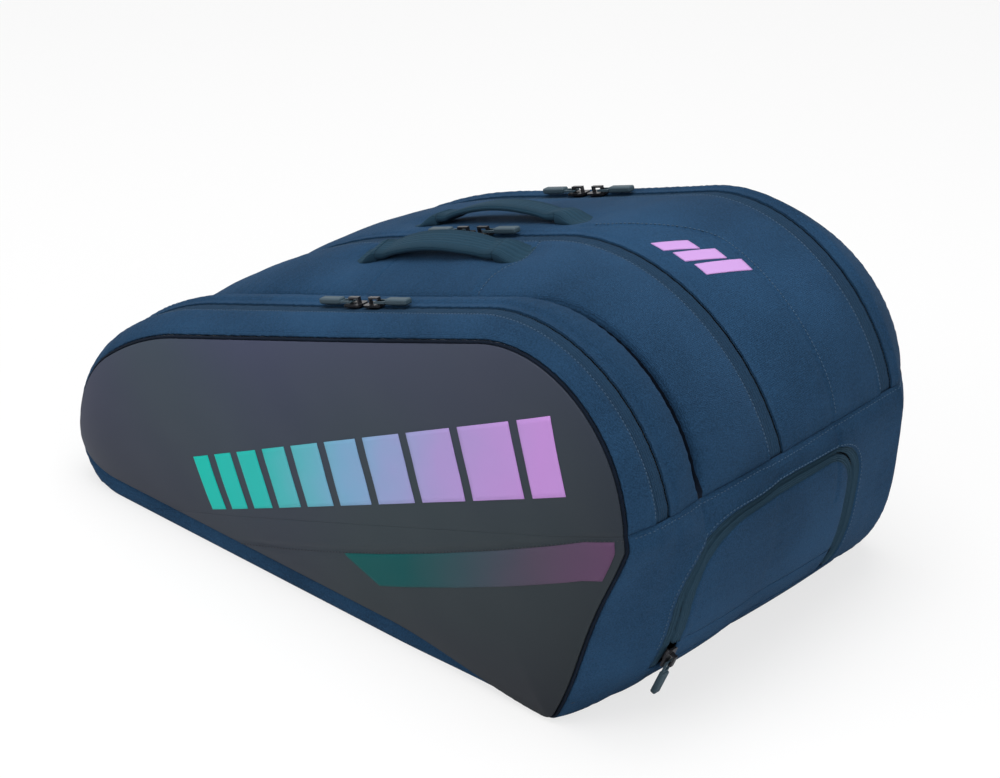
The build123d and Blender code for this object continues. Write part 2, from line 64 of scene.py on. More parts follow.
# %% Camera
def place_camera(azimuth, elevation, distance, target, lens):
    """Camera on a sphere round target: azimuth from -Y towards +X, elevation above the floor."""
    a, e = math.radians(azimuth), math.radians(elevation)
    back = np.array([math.sin(a) * math.cos(e), -math.cos(a) * math.cos(e), math.sin(e)])
    data = bpy.data.cameras.new("camera")
    data.lens, data.sensor_width, data.clip_start = lens, 36, 0.05
    camera = bpy.data.objects.new("camera", data)
    bpy.context.collection.objects.link(camera)
    camera.location = np.array(target) + distance * back
    camera.rotation_euler = (math.pi / 2 - e, 0, a)
    bpy.context.scene.camera = camera
    return camera


camera = place_camera(42.98, 27.76, 2.1917, (0.0097, 0, 0.118), 105.25)
print("camera at", np.round(camera.location, 3))


# %% [markdown]
# A material is a small graph of nodes. Two helpers keep the graphs short: one makes a new node
# with its values and links, the other starts a material and hands back its shader.

# %% Node helpers
def node(tree, kind, links=(), **values):
    """New shader node. values set its properties or sockets, links join (socket, source) pairs."""
    made = tree.nodes.new("ShaderNode" + kind)
    for key, value in values.items():
        if hasattr(made, key):
            setattr(made, key, value)
        else:
            made.inputs[key.replace("_", " ")].default_value = value
    for socket, source in links:
        tree.links.new(source, made.inputs[socket])
    return made


def material(name, **sockets):
    """Material with one Principled shader, whose plain sockets are set here."""
    made = bpy.data.materials.new(name)
    made.use_nodes = True
    tree = made.node_tree
    shader = next(n for n in tree.nodes if n.type == "BSDF_PRINCIPLED")
    for key, value in sockets.items():
        shader.inputs[key.replace("_", " ")].default_value = value
    return made, tree, shader


def tint(rgb, factor):
    """A colour made lighter or darker."""
    return tuple(min(1.0, channel * factor) for channel in rgb) + (1.0,)


def noise(tree, scale, detail):
    """Noise from 0 to 1 that stays put on its object."""
    place = node(tree, "TexCoord")
    return node(tree, "TexNoise", [("Vector", place.outputs["Object"])], Scale=scale,
                Detail=detail).outputs["Fac"]


def combine(tree, operation, a, b):
    """Sum, product or larger one of two values."""
    return node(tree, "Math", [(0, a), (1, b)], operation=operation).outputs[0]


def paint(tree, shader, factor, colour, low, high):
    """Base colour that runs from low to high times a colour as factor goes from 0 to 1."""
    mix = node(tree, "Mix", [(0, factor)], data_type="RGBA")
    mix.inputs[6].default_value, mix.inputs[7].default_value = tint(colour, low), tint(colour, high)
    tree.links.new(mix.outputs[2], shader.inputs["Base Color"])


def roughen(tree, shader, height, strength, distance):
    """Bumps as high as distance, by a value from 0 to 1."""
    bump = node(tree, "Bump", [("Height", height)], Strength=strength, Distance=distance)
    tree.links.new(bump.outputs[0], shader.inputs["Normal"])


# %% Floor, world and lamps
# Seen straight on, the floor is mostly plain white; for light it is matt paint.
floor_mesh = bpy.data.meshes.new("floor")
floor_mesh.from_pydata([(-9, -9, 0), (9, -9, 0), (9, 9, 0), (-9, 9, 0)], [], [(0, 1, 2, 3)])
floor = bpy.data.objects.new("floor", floor_mesh)
bpy.context.collection.objects.link(floor)
floor.location.z = -0.0004
floor_mat, tree, shader = material("floor_paint", Base_Color=(0.93, 0.93, 0.93, 1), Roughness=0.8)
rays = node(tree, "LightPath")
paper = node(tree, "Emission", Color=(1, 1, 1, 1), Strength=1.0)
share = node(tree, "Math", [(0, rays.outputs["Is Camera Ray"])], operation="MULTIPLY")
share.inputs[1].default_value = 0.72
blend = node(tree, "MixShader", [(0, share.outputs[0]), (1, shader.outputs[0]), (2, paper.outputs[0])])
tree.links.new(blend.outputs[0], next(n for n in tree.nodes if n.type == "OUTPUT_MATERIAL").inputs[0])
floor_mesh.materials.append(floor_mat)

world = bpy.data.worlds.new("studio")
bpy.context.scene.world = world
world.use_nodes = True
tree = world.node_tree
tree.nodes.clear()
rays = node(tree, "LightPath")
seen = combine(tree, "MAXIMUM", rays.outputs["Is Camera Ray"], rays.outputs["Is Glossy Ray"])
lit = node(tree, "Background", Color=(1, 1, 1, 1), Strength=0.38)
shown = node(tree, "Background", Color=(1, 1, 1, 1), Strength=1.0)
mixed = node(tree, "MixShader", [(0, seen), (1, lit.outputs[0]), (2, shown.outputs[0])])
node(tree, "OutputWorld", [(0, mixed.outputs[0])])
bpy.context.scene.view_settings.view_transform = "Standard"


def lamp(name, place, aim, size, watts):
    """Square area lamp at place, turned towards aim."""
    data = bpy.data.lights.new(name, "AREA")
    data.size, data.energy = size, watts
    made = bpy.data.objects.new(name, data)
    bpy.context.collection.objects.link(made)
    made.location = place
    ahead = np.array(aim, float) - np.array(place, float)
    made.rotation_euler = (math.acos(-ahead[2] / np.linalg.norm(ahead)), 0,
                           math.atan2(ahead[1], ahead[0]) - math.pi / 2)


lamp("overhead", (0.1, -0.1, 2.2), (0, 0, 0.1), 1.6, 36)
lamp("key", (-1.2, -2.0, 1.5), (0, 0, 0.15), 1.2, 15)
lamp("fill", (2.3, -0.6, 0.9), (0.1, 0, 0.1), 1.4, 11)
print("floor, world and 3 lamps")

# %% [markdown]
# ## The outline of a slice
# Cut the bag square to its depth and every slice has one outline: a flat bottom, a tight corner,
# a long round end, a round top corner, a sloping top, a slow shoulder and a nose of two arcs.
# All arcs meet without a kink. A slice is named by four numbers, its swell (how far it stands
# out), the radius of its top corner, and the turn and the radius of its shoulder. They change from
# slice to slice.

# %% Sizes of the outline
LENGTH, HEIGHT = 0.580, 0.272
TOP_SLOPE = math.radians(17.7)
CORNER, NOSE, SHOULDER = 0.022, 0.046, 0.450
END_START, END_STOP, TOP_HEADING = math.radians(42), math.radians(108), math.pi + TOP_SLOPE
FOLD_X, FOLD_SLOPE = -0.212, math.atan(0.170 / (0.290 - 0.006 + 0.212))

front_y, rear_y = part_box("front_upper_welt")[0][1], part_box("rear_upper_welt")[1][1]
zip_y = [(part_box(f"zip_{k}_tape_front")[1][1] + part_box(f"zip_{k}_tape_rear")[0][1]) / 2
         for k in (1, 2, 3)]
crease_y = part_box("front_pouch_gusset")[1][1]
TAPE, COVER_EDGE = 0.009, 0.0132     # half a zip's tape; where the cloth in front of it ends
RIM = 0.0035     # depth left to the piping round each face
print("zips at y", np.round(zip_y, 4), "crease", round(crease_y, 4))


def outline(t, swell, corner, shoulder, bend):
    """Point and outward direction on a slice. The whole part of t counts 8 pieces, bottom line,
    corner, end, top corner, top line, shoulder, upper nose, lower nose, and its fraction runs
    along one. A point of an arc is its centre plus its radius along the heading's outward side."""
    t, swell, corner, turn, bend = np.broadcast_arrays(*(np.asarray(a, float)
                                                         for a in (t, swell, corner, shoulder, bend)))
    half, height, top = LENGTH / 2 + swell, HEIGHT + swell, corner + swell
    s, c = math.sin(TOP_SLOPE), math.cos(TOP_SLOPE)
    a, b = END_START, END_STOP
    end = (height - CORNER * (1 - np.cos(a)) - top * (1 + np.cos(b))) / (np.cos(a) - np.cos(b))
    end_x, end_z = half - end, CORNER + (end - CORNER) * np.cos(a)
    corner_x = end_x + (end - CORNER) * np.sin(a)
    top_x, top_z = end_x + (end - top) * np.sin(b), end_z - (end - top) * np.cos(b)
    top_v = top_z * c - top_x * s + top
    upper = (top_v - half * s - NOSE * c - bend * (1 - np.cos(turn))) / (np.cos(turn) - s)
    stop = TOP_HEADING + turn
    shoulder_x, shoulder_z = (upper - half - (bend - upper) * np.sin(stop),
                              NOSE + (bend - upper) * np.cos(stop))
    flat = np.zeros_like(half)
    arcs = {1: (corner_x, CORNER + flat, CORNER + flat, 0, a), 2: (end_x, end_z, end, a, b),
            3: (top_x, top_z, top, b, TOP_HEADING),
            5: (shoulder_x, shoulder_z, bend, TOP_HEADING, stop),
            6: (upper - half, NOSE + flat, upper, stop, 1.5 * math.pi),
            7: (NOSE - half, NOSE + flat, NOSE + flat, 1.5 * math.pi, 2 * math.pi)}
    piece = np.clip(np.floor(t), 0, 7).astype(int)
    f = t - piece
    x, z, nx, nz = (np.zeros_like(f) for _ in range(4))
    for number, (cx, cz, r, first, last) in arcs.items():
        on, heading = piece == number, first + (last - first) * f
        x, z = np.where(on, cx + r * np.sin(heading), x), np.where(on, cz - r * np.cos(heading), z)
        nx, nz = np.where(on, np.sin(heading), nx), np.where(on, -np.cos(heading), nz)
    on = piece == 0
    x, nz = np.where(on, (NOSE - half) * (1 - f) + corner_x * f, x), np.where(on, -1.0, nz)
    on = piece == 4
    x0, z0 = top_x - top * s, top_z + top * c
    x1, z1 = shoulder_x - bend * s, shoulder_z + bend * c
    x, z = np.where(on, x0 + (x1 - x0) * f, x), np.where(on, z0 + (z1 - z0) * f, z)
    return x, z, np.where(on, -s, nx), np.where(on, c, nz)


# %% [markdown]
# Walking round the outline is easier in metres than in piece numbers. One table, made once from
# the slice under the fold, turns a distance walked into the piece and fraction.

# %% Distance walked round the outline
TUB_SWELL, FACE_CORNER, FACE_SHOULDER = 0.002, 0.115, math.radians(20)
table_t = np.linspace(0, 7.9999, 4800)
table_x, table_z = outline(table_t, TUB_SWELL, FACE_CORNER, FACE_SHOULDER, SHOULDER)[:2]
table_s = np.concatenate([[0], np.cumsum(np.hypot(np.diff(table_x), np.diff(table_z)))])
ROUND = table_s[-1]


def walked(t):
    """Distance walked at piece number t."""
    return np.interp(t, table_t, table_s)


def s_at_x(x):
    """Distance walked to a place on the flat bottom."""
    return np.interp(x, *(a[table_t < 1] for a in (table_x, table_s)))


def s_at_z(z):
    """Distance walked up the wide end to height z."""
    end = (table_t >= 1) & (table_t < 3.2)
    return np.interp(z, table_z[end], table_s[end])


print("once round is", round(ROUND, 3), "m")

# %% [markdown]
# ## The skin of the bag
# The gusset is one skin over all slices. Between two seams the padding pushes it out like a
# pillow, steepest beside the seam; at zips, at the crease and along the fold it is held in. Both
# faces lean in towards the top, the wide end is pulled in at its lower front corner, and the
# lower edges of the cloth roll up from the floor.

# %% Skin
FRONT_INSET, REAR_INSET = 0.008, 0.022
SLICES = np.array([  # y, swell, top corner, degrees and radius of the shoulder
    (front_y, -FRONT_INSET, 0.115, 21, 0.24), (zip_y[0] - TAPE, 0.003, 0.127, 21, 0.28),
    (zip_y[0] + TAPE, 0.003, 0.127, 21, 0.28), (crease_y, -0.002, 0.118, 23, 0.34),
    (zip_y[1] - TAPE, 0.006, 0.160, 32, 0.43), (zip_y[1] + TAPE, 0.006, 0.160, 32, 0.43),
    (zip_y[2] - TAPE, 0.004, 0.138, 28, 0.45), (zip_y[2] + TAPE, 0.004, 0.138, 28, 0.45),
    (rear_y, -REAR_INSET, 0.115, 20, 0.45)])
SLICES[:, 3] = np.radians(SLICES[:, 3])
PILLOWS = [  # front edge, rear edge, how far it stands out
    (front_y + 0.002, zip_y[0] - COVER_EDGE, 0.0040), (zip_y[0] + 0.0065, crease_y, 0.0042),
    (crease_y, zip_y[1] - COVER_EDGE, 0.0060), (zip_y[1] + 0.0065, zip_y[2] - COVER_EDGE, 0.0045),
    (zip_y[2] + 0.0065, rear_y - 0.002, 0.0035)]
FRONT_LEAN, REAR_LEAN = 0.016, 0.010
CREASE, CREASE_REACH = 0.0120, 0.0026     # the crease is a narrow groove in a wide valley
VALLEY, VALLEY_REACH = 0.0035, 0.0055
ROLL, ROLL_RUN, ROLL_START = 0.015, 0.0052, 0.0036     # lower front edge: height, run, first depth
REAR_ROLL, BULGE = 0.012, 0.0055     # the rear one's height and run; the cloth's bulge over the front one
PUCKER, STITCH_LINE, FOLD_DIP = 0.00075, 0.0014, 0.0016     # height of ripples, depth of sewn lines
HOLD = 0.018     # how far from the fold the padding is held down
SEAMS = [  # where the cloth puckers: depth, how far the ripples reach, and their share
    (crease_y, 0.014, 0.7), (front_y, 0.009, 0.8), (rear_y, 0.010, 0.8),
    *((middle - COVER_EDGE - 0.001, 0.009, 0.5) for middle in zip_y),
    *((middle + 0.005, 0.008, 0.35) for middle in zip_y)]
DRAWN_IN = ([front_y, zip_y[0], crease_y, zip_y[1], zip_y[2], rear_y],
            [0.0055, 0.0060, 0.0050, 0.0040, 0.0100, 0.0120])
CORNER_IN, CORNER_TOP, CORNER_BACK = 0.0230, 0.155, 0.078     # lower front corner of the wide end
ANCHOR_REACH = 0.076     # from the middle of a handle to the middle of its sewn-down ends
swings = {label: next(j for j in frame["joints"] if j["name"] == f"handle_{label}_swing")
          for label in ("front", "rear")}
SEWN_DOWN = [(swing["pos_m"][0] + end * ANCHOR_REACH * swing["axis"][0], swing["pos_m"][1])
             for swing in swings.values() for end in (-1, 1)]
rng = np.random.default_rng(7)
WAVES = [(rng.normal(0, 1, 3) * 55 * 1.6**k, rng.uniform(0, 6.28), 0.55**k)
         for k in range(4) for _ in range(3)]


def smooth(a):
    """Eases from 0 to 1."""
    a = np.clip(a, 0, 1)
    return a * a * (3 - 2 * a)


def over_fold(x, z):
    """Height over the plane along which the lids fold away."""
    return z * math.cos(FOLD_SLOPE) - (x - FOLD_X) * math.sin(FOLD_SLOPE)


def under_fold(x, gap=0.0012):
    """Height of a place straight under that plane, gap metres lower."""
    return (x - FOLD_X) * math.tan(FOLD_SLOPE) - gap


def slice_at(y):
    """Swell, top corner, and turn and radius of the shoulder, of the slice at depth y."""
    return [np.interp(y, SLICES[:, 0], column) for column in SLICES.T[1:]]


def unrest(x, y, z):
    """Sum of a few sine waves: the slow unevenness of sewn padding, about -1 to 1."""
    return sum(weight * np.sin(k[0] * x + k[1] * y + k[2] * z + phase) for k, phase, weight in WAVES) / 3.2


def puckers(s):
    """Uneven ripples of about a centimetre along a sewn seam, -1 to 1."""
    slow, fast = np.sin(s * 560 + 2.2 * np.sin(s * 71)), np.sin(s * 913 + 3.1 * np.sin(s * 43) + 1.3)
    return (slow + 0.7 * fast) / 1.7


def settle(x, y, z):
    """Leans both faces in towards the top and turns the cloth's lower edges up from the floor."""
    high = np.clip(z / HEIGHT, 0, 1.1) ** 1.3
    near = np.clip((zip_y[0] - TAPE - y) / (zip_y[0] - TAPE - front_y), 0, 1)
    far = np.clip((y - zip_y[2] - TAPE) / (rear_y - zip_y[2] - TAPE), 0, 1)
    low = np.clip(1 - z / 0.06, 0, 1) ** 2
    turned = [1 - np.sqrt(1 - np.clip(1 - edge / run, 0, 1) ** 2)
              for edge, run in ((y - front_y - ROLL_START, ROLL_RUN), (rear_y - y, REAR_ROLL))]
    share = 1 - smooth((x - 0.06) / 0.15)
    rise = (ROLL * share * turned[0] + REAR_ROLL * turned[1]) * low
    bulge = BULGE * share * low * (1 - turned[0]) * np.exp(-((y - front_y) / 0.030) ** 2)
    return x, y + (FRONT_LEAN * near - REAR_LEAN * far) * high - bulge, z + rise


def right_patch_s(y):
    """Seam of the patch under the front handle, on the wide side, from the crease to the zip."""
    return 0.930 - 0.040 * smooth((y - crease_y) / 0.075)


def left_patch_s(y):
    """The same patch's other seam."""
    return 1.040 + 0.022 * (y - crease_y) / 0.060


def rear_seam_y(s):
    """Depth of the seam that leaves the rear handle and runs on beside the third zip."""
    return 0.050 - 0.042 * smooth((s - 0.80) / 0.065)


def sewn_lines(s, y):
    """Distance from each of the three seams that cross the top, or far off where they end."""
    s = np.where(s > ROUND, s - ROUND, s)
    middle = (y > crease_y + 0.004) & (y < zip_y[1] - COVER_EDGE)
    behind = (s > 0.60) & (s < 0.868) & (y > zip_y[1] + 0.004)
    return (np.where(middle, s - right_patch_s(y), 9.0),
            np.where(middle & (y < -0.052), s - left_patch_s(y), 9.0),
            np.where(behind, y - rear_seam_y(s), 9.0))


def pulled_in(x, y, z):
    """x with the wide end drawn in, and most of all its lower front corner."""
    x = x - np.interp(y, *DRAWN_IN) * smooth((x + 0.02) / 0.28) * smooth((z - 0.03) / 0.09)
    cut = np.sin(math.pi * np.clip(z / CORNER_TOP, 0, 1) ** 0.9) * smooth((x - 0.08) / 0.15)
    return x - CORNER_IN * cut * (1 - smooth((y - front_y) / CORNER_BACK))


def padding(s, x, y, z, nz, below):
    """How far the cloth stands out: pillows, flat where it is held down, and ripples at seams."""
    push, seams, h = 0, 0, over_fold(x, z)
    for near, far, height in PILLOWS:
        u = np.clip((y - near) / (far - near), 0, 1)
        push = push + height * (4 * u * (1 - u)) ** 0.6
    for sewn_x, sewn_y in SEWN_DOWN:
        near = np.exp(-((x - sewn_x) / 0.024) ** 2 - ((y - sewn_y) / 0.016) ** 2)
        push = push * (1 - 0.92 * near * smooth(nz * 3))
    held = 1 - np.exp(-np.abs(h) / HOLD)
    push = push * np.where(h > 0, held, held * (1 - 0.7 * below)) * (1 + 0.10 * unrest(x, y, z))
    for seam, reach, share in SEAMS:
        away = np.abs(y - seam)
        seams = seams + share * np.exp(-away / reach) * smooth((away - 0.0005) / 0.004)
    at_fold = np.exp(-np.abs(h) / 0.012) * smooth(np.abs(h) / 0.004) * smooth((x - 0.1) / 0.12)
    return push + PUCKER * (puckers(s) * seams + 0.8 * puckers(y * 1.3 + 0.37) * at_fold)


def grooves(s, x, y, z):
    """How deep the cloth is drawn in along the fold, the crease and the sewn lines."""
    h, apart = over_fold(x, z), np.abs(y - crease_y)
    fold = FOLD_DIP * np.exp(-(h / 0.004) ** 2) * smooth((x - 0.1) / 0.12)
    crease = CREASE * np.exp(-(apart / CREASE_REACH) ** 2) + VALLEY * np.exp(-apart / VALLEY_REACH)
    lines = STITCH_LINE * sum(np.exp(-(away / 0.0018) ** 2) for away in sewn_lines(s, y))
    return fold + crease * smooth(h / 0.02) + lines


def skin(s, y, out=0.0):
    """Points on the skin, s metres round the outline and at depth y, out metres above it. Under the
    fold all slices take the tub's swell and corner. The inside keeps clear of the turned-up edge."""
    s, y = np.broadcast_arrays(np.asarray(s, float), np.asarray(y, float))
    t = np.interp(s % ROUND, table_s, table_t)
    swell, corner, shoulder, bend = slice_at(y)
    x, z, nx, nz = outline(t, swell, corner, shoulder, bend)
    below = smooth(-over_fold(x, z) / 0.05)
    tub = np.interp(y, [front_y, zip_y[0] - TAPE, zip_y[2] + TAPE, rear_y],
                    [-FRONT_INSET, TUB_SWELL, TUB_SWELL, -REAR_INSET])
    x, z, nx, nz = outline(t, swell + (tub - swell) * below, corner + (FACE_CORNER - corner) * below,
                           shoulder, bend)
    x = pulled_in(x, y, z)
    inside = np.clip(np.minimum(y - front_y, rear_y - y) / 0.006, 0, 1)
    on_floor = np.where(nz < -0.9, np.clip(z / 0.008, 0, 1), 1)
    lift = (padding(s, x, y, z, nz, below) - grooves(s, x, y, z)) * inside * on_floor + out
    points = np.stack(settle(x + nx * lift, y, np.maximum(z + nz * lift, 0.0)), -1)
    turned_up = np.exp(-((y - front_y) / 0.020) ** 2) * np.clip(1 - z / 0.03, 0, 1)
    points[..., 1] += np.clip(-out, 0, 0.005) * turned_up
    return points


def skin_normal(s, y):
    """Outward direction of the skin, from two small steps."""
    e = 0.0008
    along = skin(np.asarray(s) + e, y) - skin(np.asarray(s) - e, y)
    across = skin(s, np.asarray(y) + e) - skin(s, np.asarray(y) - e)
    n = np.cross(across, along)
    return n / np.maximum(np.linalg.norm(n, axis=-1, keepdims=True), 1e-9)


def find_fold(y):
    """Distances walked at which the skin crosses the fold, at the wide end and under the nose: the
    first and last change of sign of the height over it, placed between two samples by its size."""
    s = np.linspace(0, ROUND * 0.9999, 1500)
    p = skin(s[:, None], y[None])
    h = over_fold(p[..., 0], p[..., 2])
    column = np.arange(len(y))

    def place(row):
        """Distance at which the height is zero, between this sample and the next."""
        return s[row] + (s[1] - s[0]) * h[row, column] / (h[row, column] - h[row + 1, column] + 1e-12)

    rises = (h[:-1] <= 0) & (h[1:] > 0) & (s[:-1, None] > s_at_x(0.1))
    falls = (h[:-1] > 0) & (h[1:] <= 0)
    return place(np.argmax(rises, axis=0)), place(len(s) - 2 - np.argmax(falls[::-1], axis=0))


fold_y = np.linspace(front_y, rear_y, 689)
fold_wide, fold_nose = find_fold(fold_y)


def fold_cuts(y):
    """The same two distances at any depth, read from a table of half millimetres."""
    return np.interp(y, fold_y, fold_wide), np.interp(y, fold_y, fold_nose)


def round_bag(y, upper, count, gap=0.0):
    """Distances walked at depth y over the part above the fold, or over the part below it."""
    wide, nose = fold_cuts(y)
    first, last = (wide, nose + ROUND) if upper else (nose, wide)
    return np.linspace(first + gap, last - gap, count)


wide, nose = fold_cuts(np.array([front_y, zip_y[0], 0.0, rear_y]))
print("fold at", np.round(wide, 3), np.round(nose, 3), "of", round(ROUND, 3))
print("top of the skin", np.round(skin(walked(4.5), zip_y)[:, 2], 3))

# %% [markdown]
# ## From numbers to meshes
# Every piece below is an array of points laid out as a grid. One helper gives the grid its
# faces, one closes two grids into a padded wall with an outside, an inside and a hem all round,
# and one hands the result to Blender and tells the fixed model which body it moves with.

# %% Mesh helpers
def grid_faces(rows, columns, closed=False, start=0):
    """Four-sided faces of a grid numbered row by row, outwards for rows along s, columns along y."""
    i, j = np.meshgrid(np.arange(rows - 1), np.arange(columns if closed else columns - 1), indexing="ij")
    k = (j + 1) % columns
    return start + np.stack([i * columns + j, i * columns + k, (i + 1) * columns + k,
                             (i + 1) * columns + j], -1).reshape(-1, 4)


def facing_out(points, faces):
    """The same faces, turned over if they look inwards: the volume they hold is negative then."""
    a, b, c, d = (points[faces[:, k]] - points.mean(0) for k in (0, 1, 2, -1))
    volume = (a * np.cross(b, c)).sum() + (a * np.cross(c, d)).sum()
    return faces if volume > 0 else faces[:, ::-1]


def make(name, points, faces, body, slot, materials, replaces=(), uv=None, indices=None, weld=False,
         fill=None):
    """Mesh object from arrays. uv is one pair per point; weld merges points that coincide."""
    points = np.asarray(points, float).reshape(-1, 3)
    faces = facing_out(points, np.asarray(faces))
    if uv is None:
        uv = points[:, [0, 2]]
    uv = np.asarray(uv, float).reshape(-1, 2)
    mesh = bpy.data.meshes.new(name)
    if weld:
        key = np.round(points / 2e-6).astype(np.int64)
        _, first, back = np.unique(key, axis=0, return_index=True, return_inverse=True)
        back = back.reshape(-1)
        corner_uv = uv[faces.reshape(-1)].reshape(len(faces), -1, 2)
        points, faces = points[first], back[faces]
        rings = [[v for k, v in enumerate(f) if v != f[k - 1]] for f in faces.tolist()]
        kept = [k for k, f in enumerate(rings) if len(f) >= 3]
        loops_uv = np.concatenate([corner_uv[k][[m for m in range(faces.shape[1])
                                                if faces[k][m] != faces[k][m - 1]]] for k in kept])
        indices = None if indices is None else np.asarray(indices)[kept]
        mesh.from_pydata(points.tolist(), [], [rings[k] for k in kept])
    else:
        mesh.vertices.add(len(points))
        mesh.vertices.foreach_set("co", points.reshape(-1))
        mesh.loops.add(faces.size)
        mesh.loops.foreach_set("vertex_index", faces.reshape(-1).astype(np.int32))
        mesh.polygons.add(len(faces))
        mesh.polygons.foreach_set("loop_start", np.arange(0, faces.size, 4, dtype=np.int32))
        mesh.update(calc_edges=True)
        loops_uv = uv[faces.reshape(-1)]
    layer = mesh.uv_layers.new(name="UVMap")
    layer.data.foreach_set("uv", loops_uv.reshape(-1))
    for entry in materials:
        mesh.materials.append(entry)
    if indices is not None:
        mesh.polygons.foreach_set("material_index", np.asarray(indices, dtype=np.int32))
    mesh.polygons.foreach_set("use_smooth", np.ones(len(mesh.polygons), bool))
    mesh.validate()
    mesh.update()
    made = bpy.data.objects.new(name, mesh)
    bpy.context.collection.objects.link(made)
    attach(made, body)
    if replaces:
        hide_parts(*replaces)
    return made


def wall(outer, inner):
    """Points, faces and material numbers of a closed wall between two grids of one size: 0 on
    the outside and along the hems, 1 on the inside."""
    rows, columns = outer.shape[:2]
    count = rows * columns
    front = grid_faces(rows, columns)
    back = grid_faces(rows, columns, start=count)[:, ::-1]
    index = np.arange(count).reshape(rows, columns)
    edge = np.concatenate([index[:, 0], index[-1, 1:], index[-2::-1, -1], index[0, -2:0:-1]])
    following = np.roll(edge, -1)
    hem = np.stack([edge, following, following + count, edge + count], -1)
    points = np.concatenate([outer.reshape(-1, 3), inner.reshape(-1, 3)])
    numbers = np.concatenate([np.zeros(len(front)), np.ones(len(back)), np.zeros(len(hem))])
    return points, np.concatenate([front, back, hem]), numbers.astype(int)


def wall_uv(s, y):
    """UV of a wall's points: the same pair on the outside and on the inside."""
    return np.tile(np.stack([s, y], -1).reshape(-1, 2), (2, 1))


def join(*groups):
    """Several (points, faces) groups as one."""
    points, faces, start = [], [], 0
    for p, f in groups:
        p = np.asarray(p).reshape(-1, 3)
        points.append(p)
        faces.append(np.asarray(f) + start)
        start += len(p)
    return np.concatenate(points), np.concatenate(faces)


DEEP = np.array([0.0, 1.0, 0.0])     # the way from front to rear


def unit(v):
    """Vectors of length one."""
    return v / np.maximum(np.linalg.norm(v, axis=-1, keepdims=True), 1e-12)


def tube(path, side, width, height, sides=10, power=1.0, closed=False):
    """Profile carried along a path: an oval width by height (half sizes) whose flat way lies
    along side. power below 1 squares it. Ends are closed by drawing the last rings together."""
    path, side = np.asarray(path, float), np.asarray(side, float)
    ahead = unit(np.gradient(path, axis=0))
    side = unit(side - (side * ahead).sum(-1, keepdims=True) * ahead)
    up = np.cross(side, ahead)
    width, height = (np.broadcast_to(a, len(path)).astype(float) for a in (width, height))
    if not closed:
        path = np.concatenate([path[:1], path, path[-1:]])
        side, up = (np.concatenate([a[:1], a, a[-1:]]) for a in (side, up))
        width, height = (np.concatenate([[0], a, [0]]) for a in (width, height))
    angle = np.linspace(0, 2 * math.pi, sides, endpoint=False)
    ca, sa = (np.sign(f(angle)) * np.abs(f(angle)) ** power for f in (np.cos, np.sin))
    points = (path[:, None] + side[:, None] * (width[:, None] * ca)[..., None]
              + up[:, None] * (height[:, None] * sa)[..., None])
    return points, grid_faces(len(path), sides, closed=True)


# %% [markdown]
# ## Finishes
# The cloth is a plain weave of thick polyester yarn: a fine grid of bumps, a slight sheen, and
# yarn that is never all one blue. The front is coated and smoother, the zips are ribbed tape.

# %% Cloth
def woven(name, colour, yarn=0.0010, strength=0.75):
    """Weave: two crossed waves one yarn wide as bumps, and grains of lighter and darker yarn."""
    made, tree, shader = material(name, Roughness=0.85, Sheen_Weight=0.012, Sheen_Roughness=0.5,
                                  Specular_IOR_Level=0.06)
    uv = node(tree, "UVMap", uv_map="UVMap")
    waves = [node(tree, "TexWave", [("Vector", uv.outputs[0])], bands_direction=direction,
                  Scale=0.314 / yarn, Distortion=0.6, Detail=1.0).outputs["Fac"] for direction in "XY"]
    grain = noise(tree, 900.0, 2.0)
    both = combine(tree, "ADD", grain, noise(tree, 9.0, 3.0))
    ramp = node(tree, "MapRange", [("Value", both)], From_Min=0.7, From_Max=1.3)
    paint(tree, shader, ramp.outputs[0], colour, 0.64, 1.36)
    roughen(tree, shader, combine(tree, "ADD", combine(tree, "MULTIPLY", *waves), grain), strength, 0.0004)
    return made


def ribbed(name, colour, pitch, rough=0.8, strength=0.6, depth=0.0004):
    """Tape or webbing: ribs of one pitch across the UV map's Y, and a little dust."""
    made, tree, shader = material(name, Roughness=rough, Sheen_Weight=0.01, Specular_IOR_Level=0.05)
    uv = node(tree, "UVMap", uv_map="UVMap")
    ribs = node(tree, "TexWave", [("Vector", uv.outputs[0])], bands_direction="Y",
                Scale=0.314 / pitch, Distortion=0.3)
    total = combine(tree, "ADD", ribs.outputs["Fac"], noise(tree, 700.0, 2.0))
    paint(tree, shader, total, colour, 0.7, 1.15)
    roughen(tree, shader, total, strength, depth)
    return made


def grained(name, colour, rough, scale, strength, metal=0.0):
    """Moulded, cast or coated surface: fine grain, and roughness that wanders."""
    made, tree, shader = material(name, Metallic=metal)
    cloud = noise(tree, 22.0, 3.0)
    wander = node(tree, "MapRange", [("Value", cloud)], To_Min=rough * 0.85, To_Max=min(1.0, rough * 1.2))
    tree.links.new(wander.outputs[0], shader.inputs["Roughness"])
    paint(tree, shader, cloud, colour, 0.88, 1.12)
    roughen(tree, shader, noise(tree, scale, 3.0), strength, 0.0003)
    return made


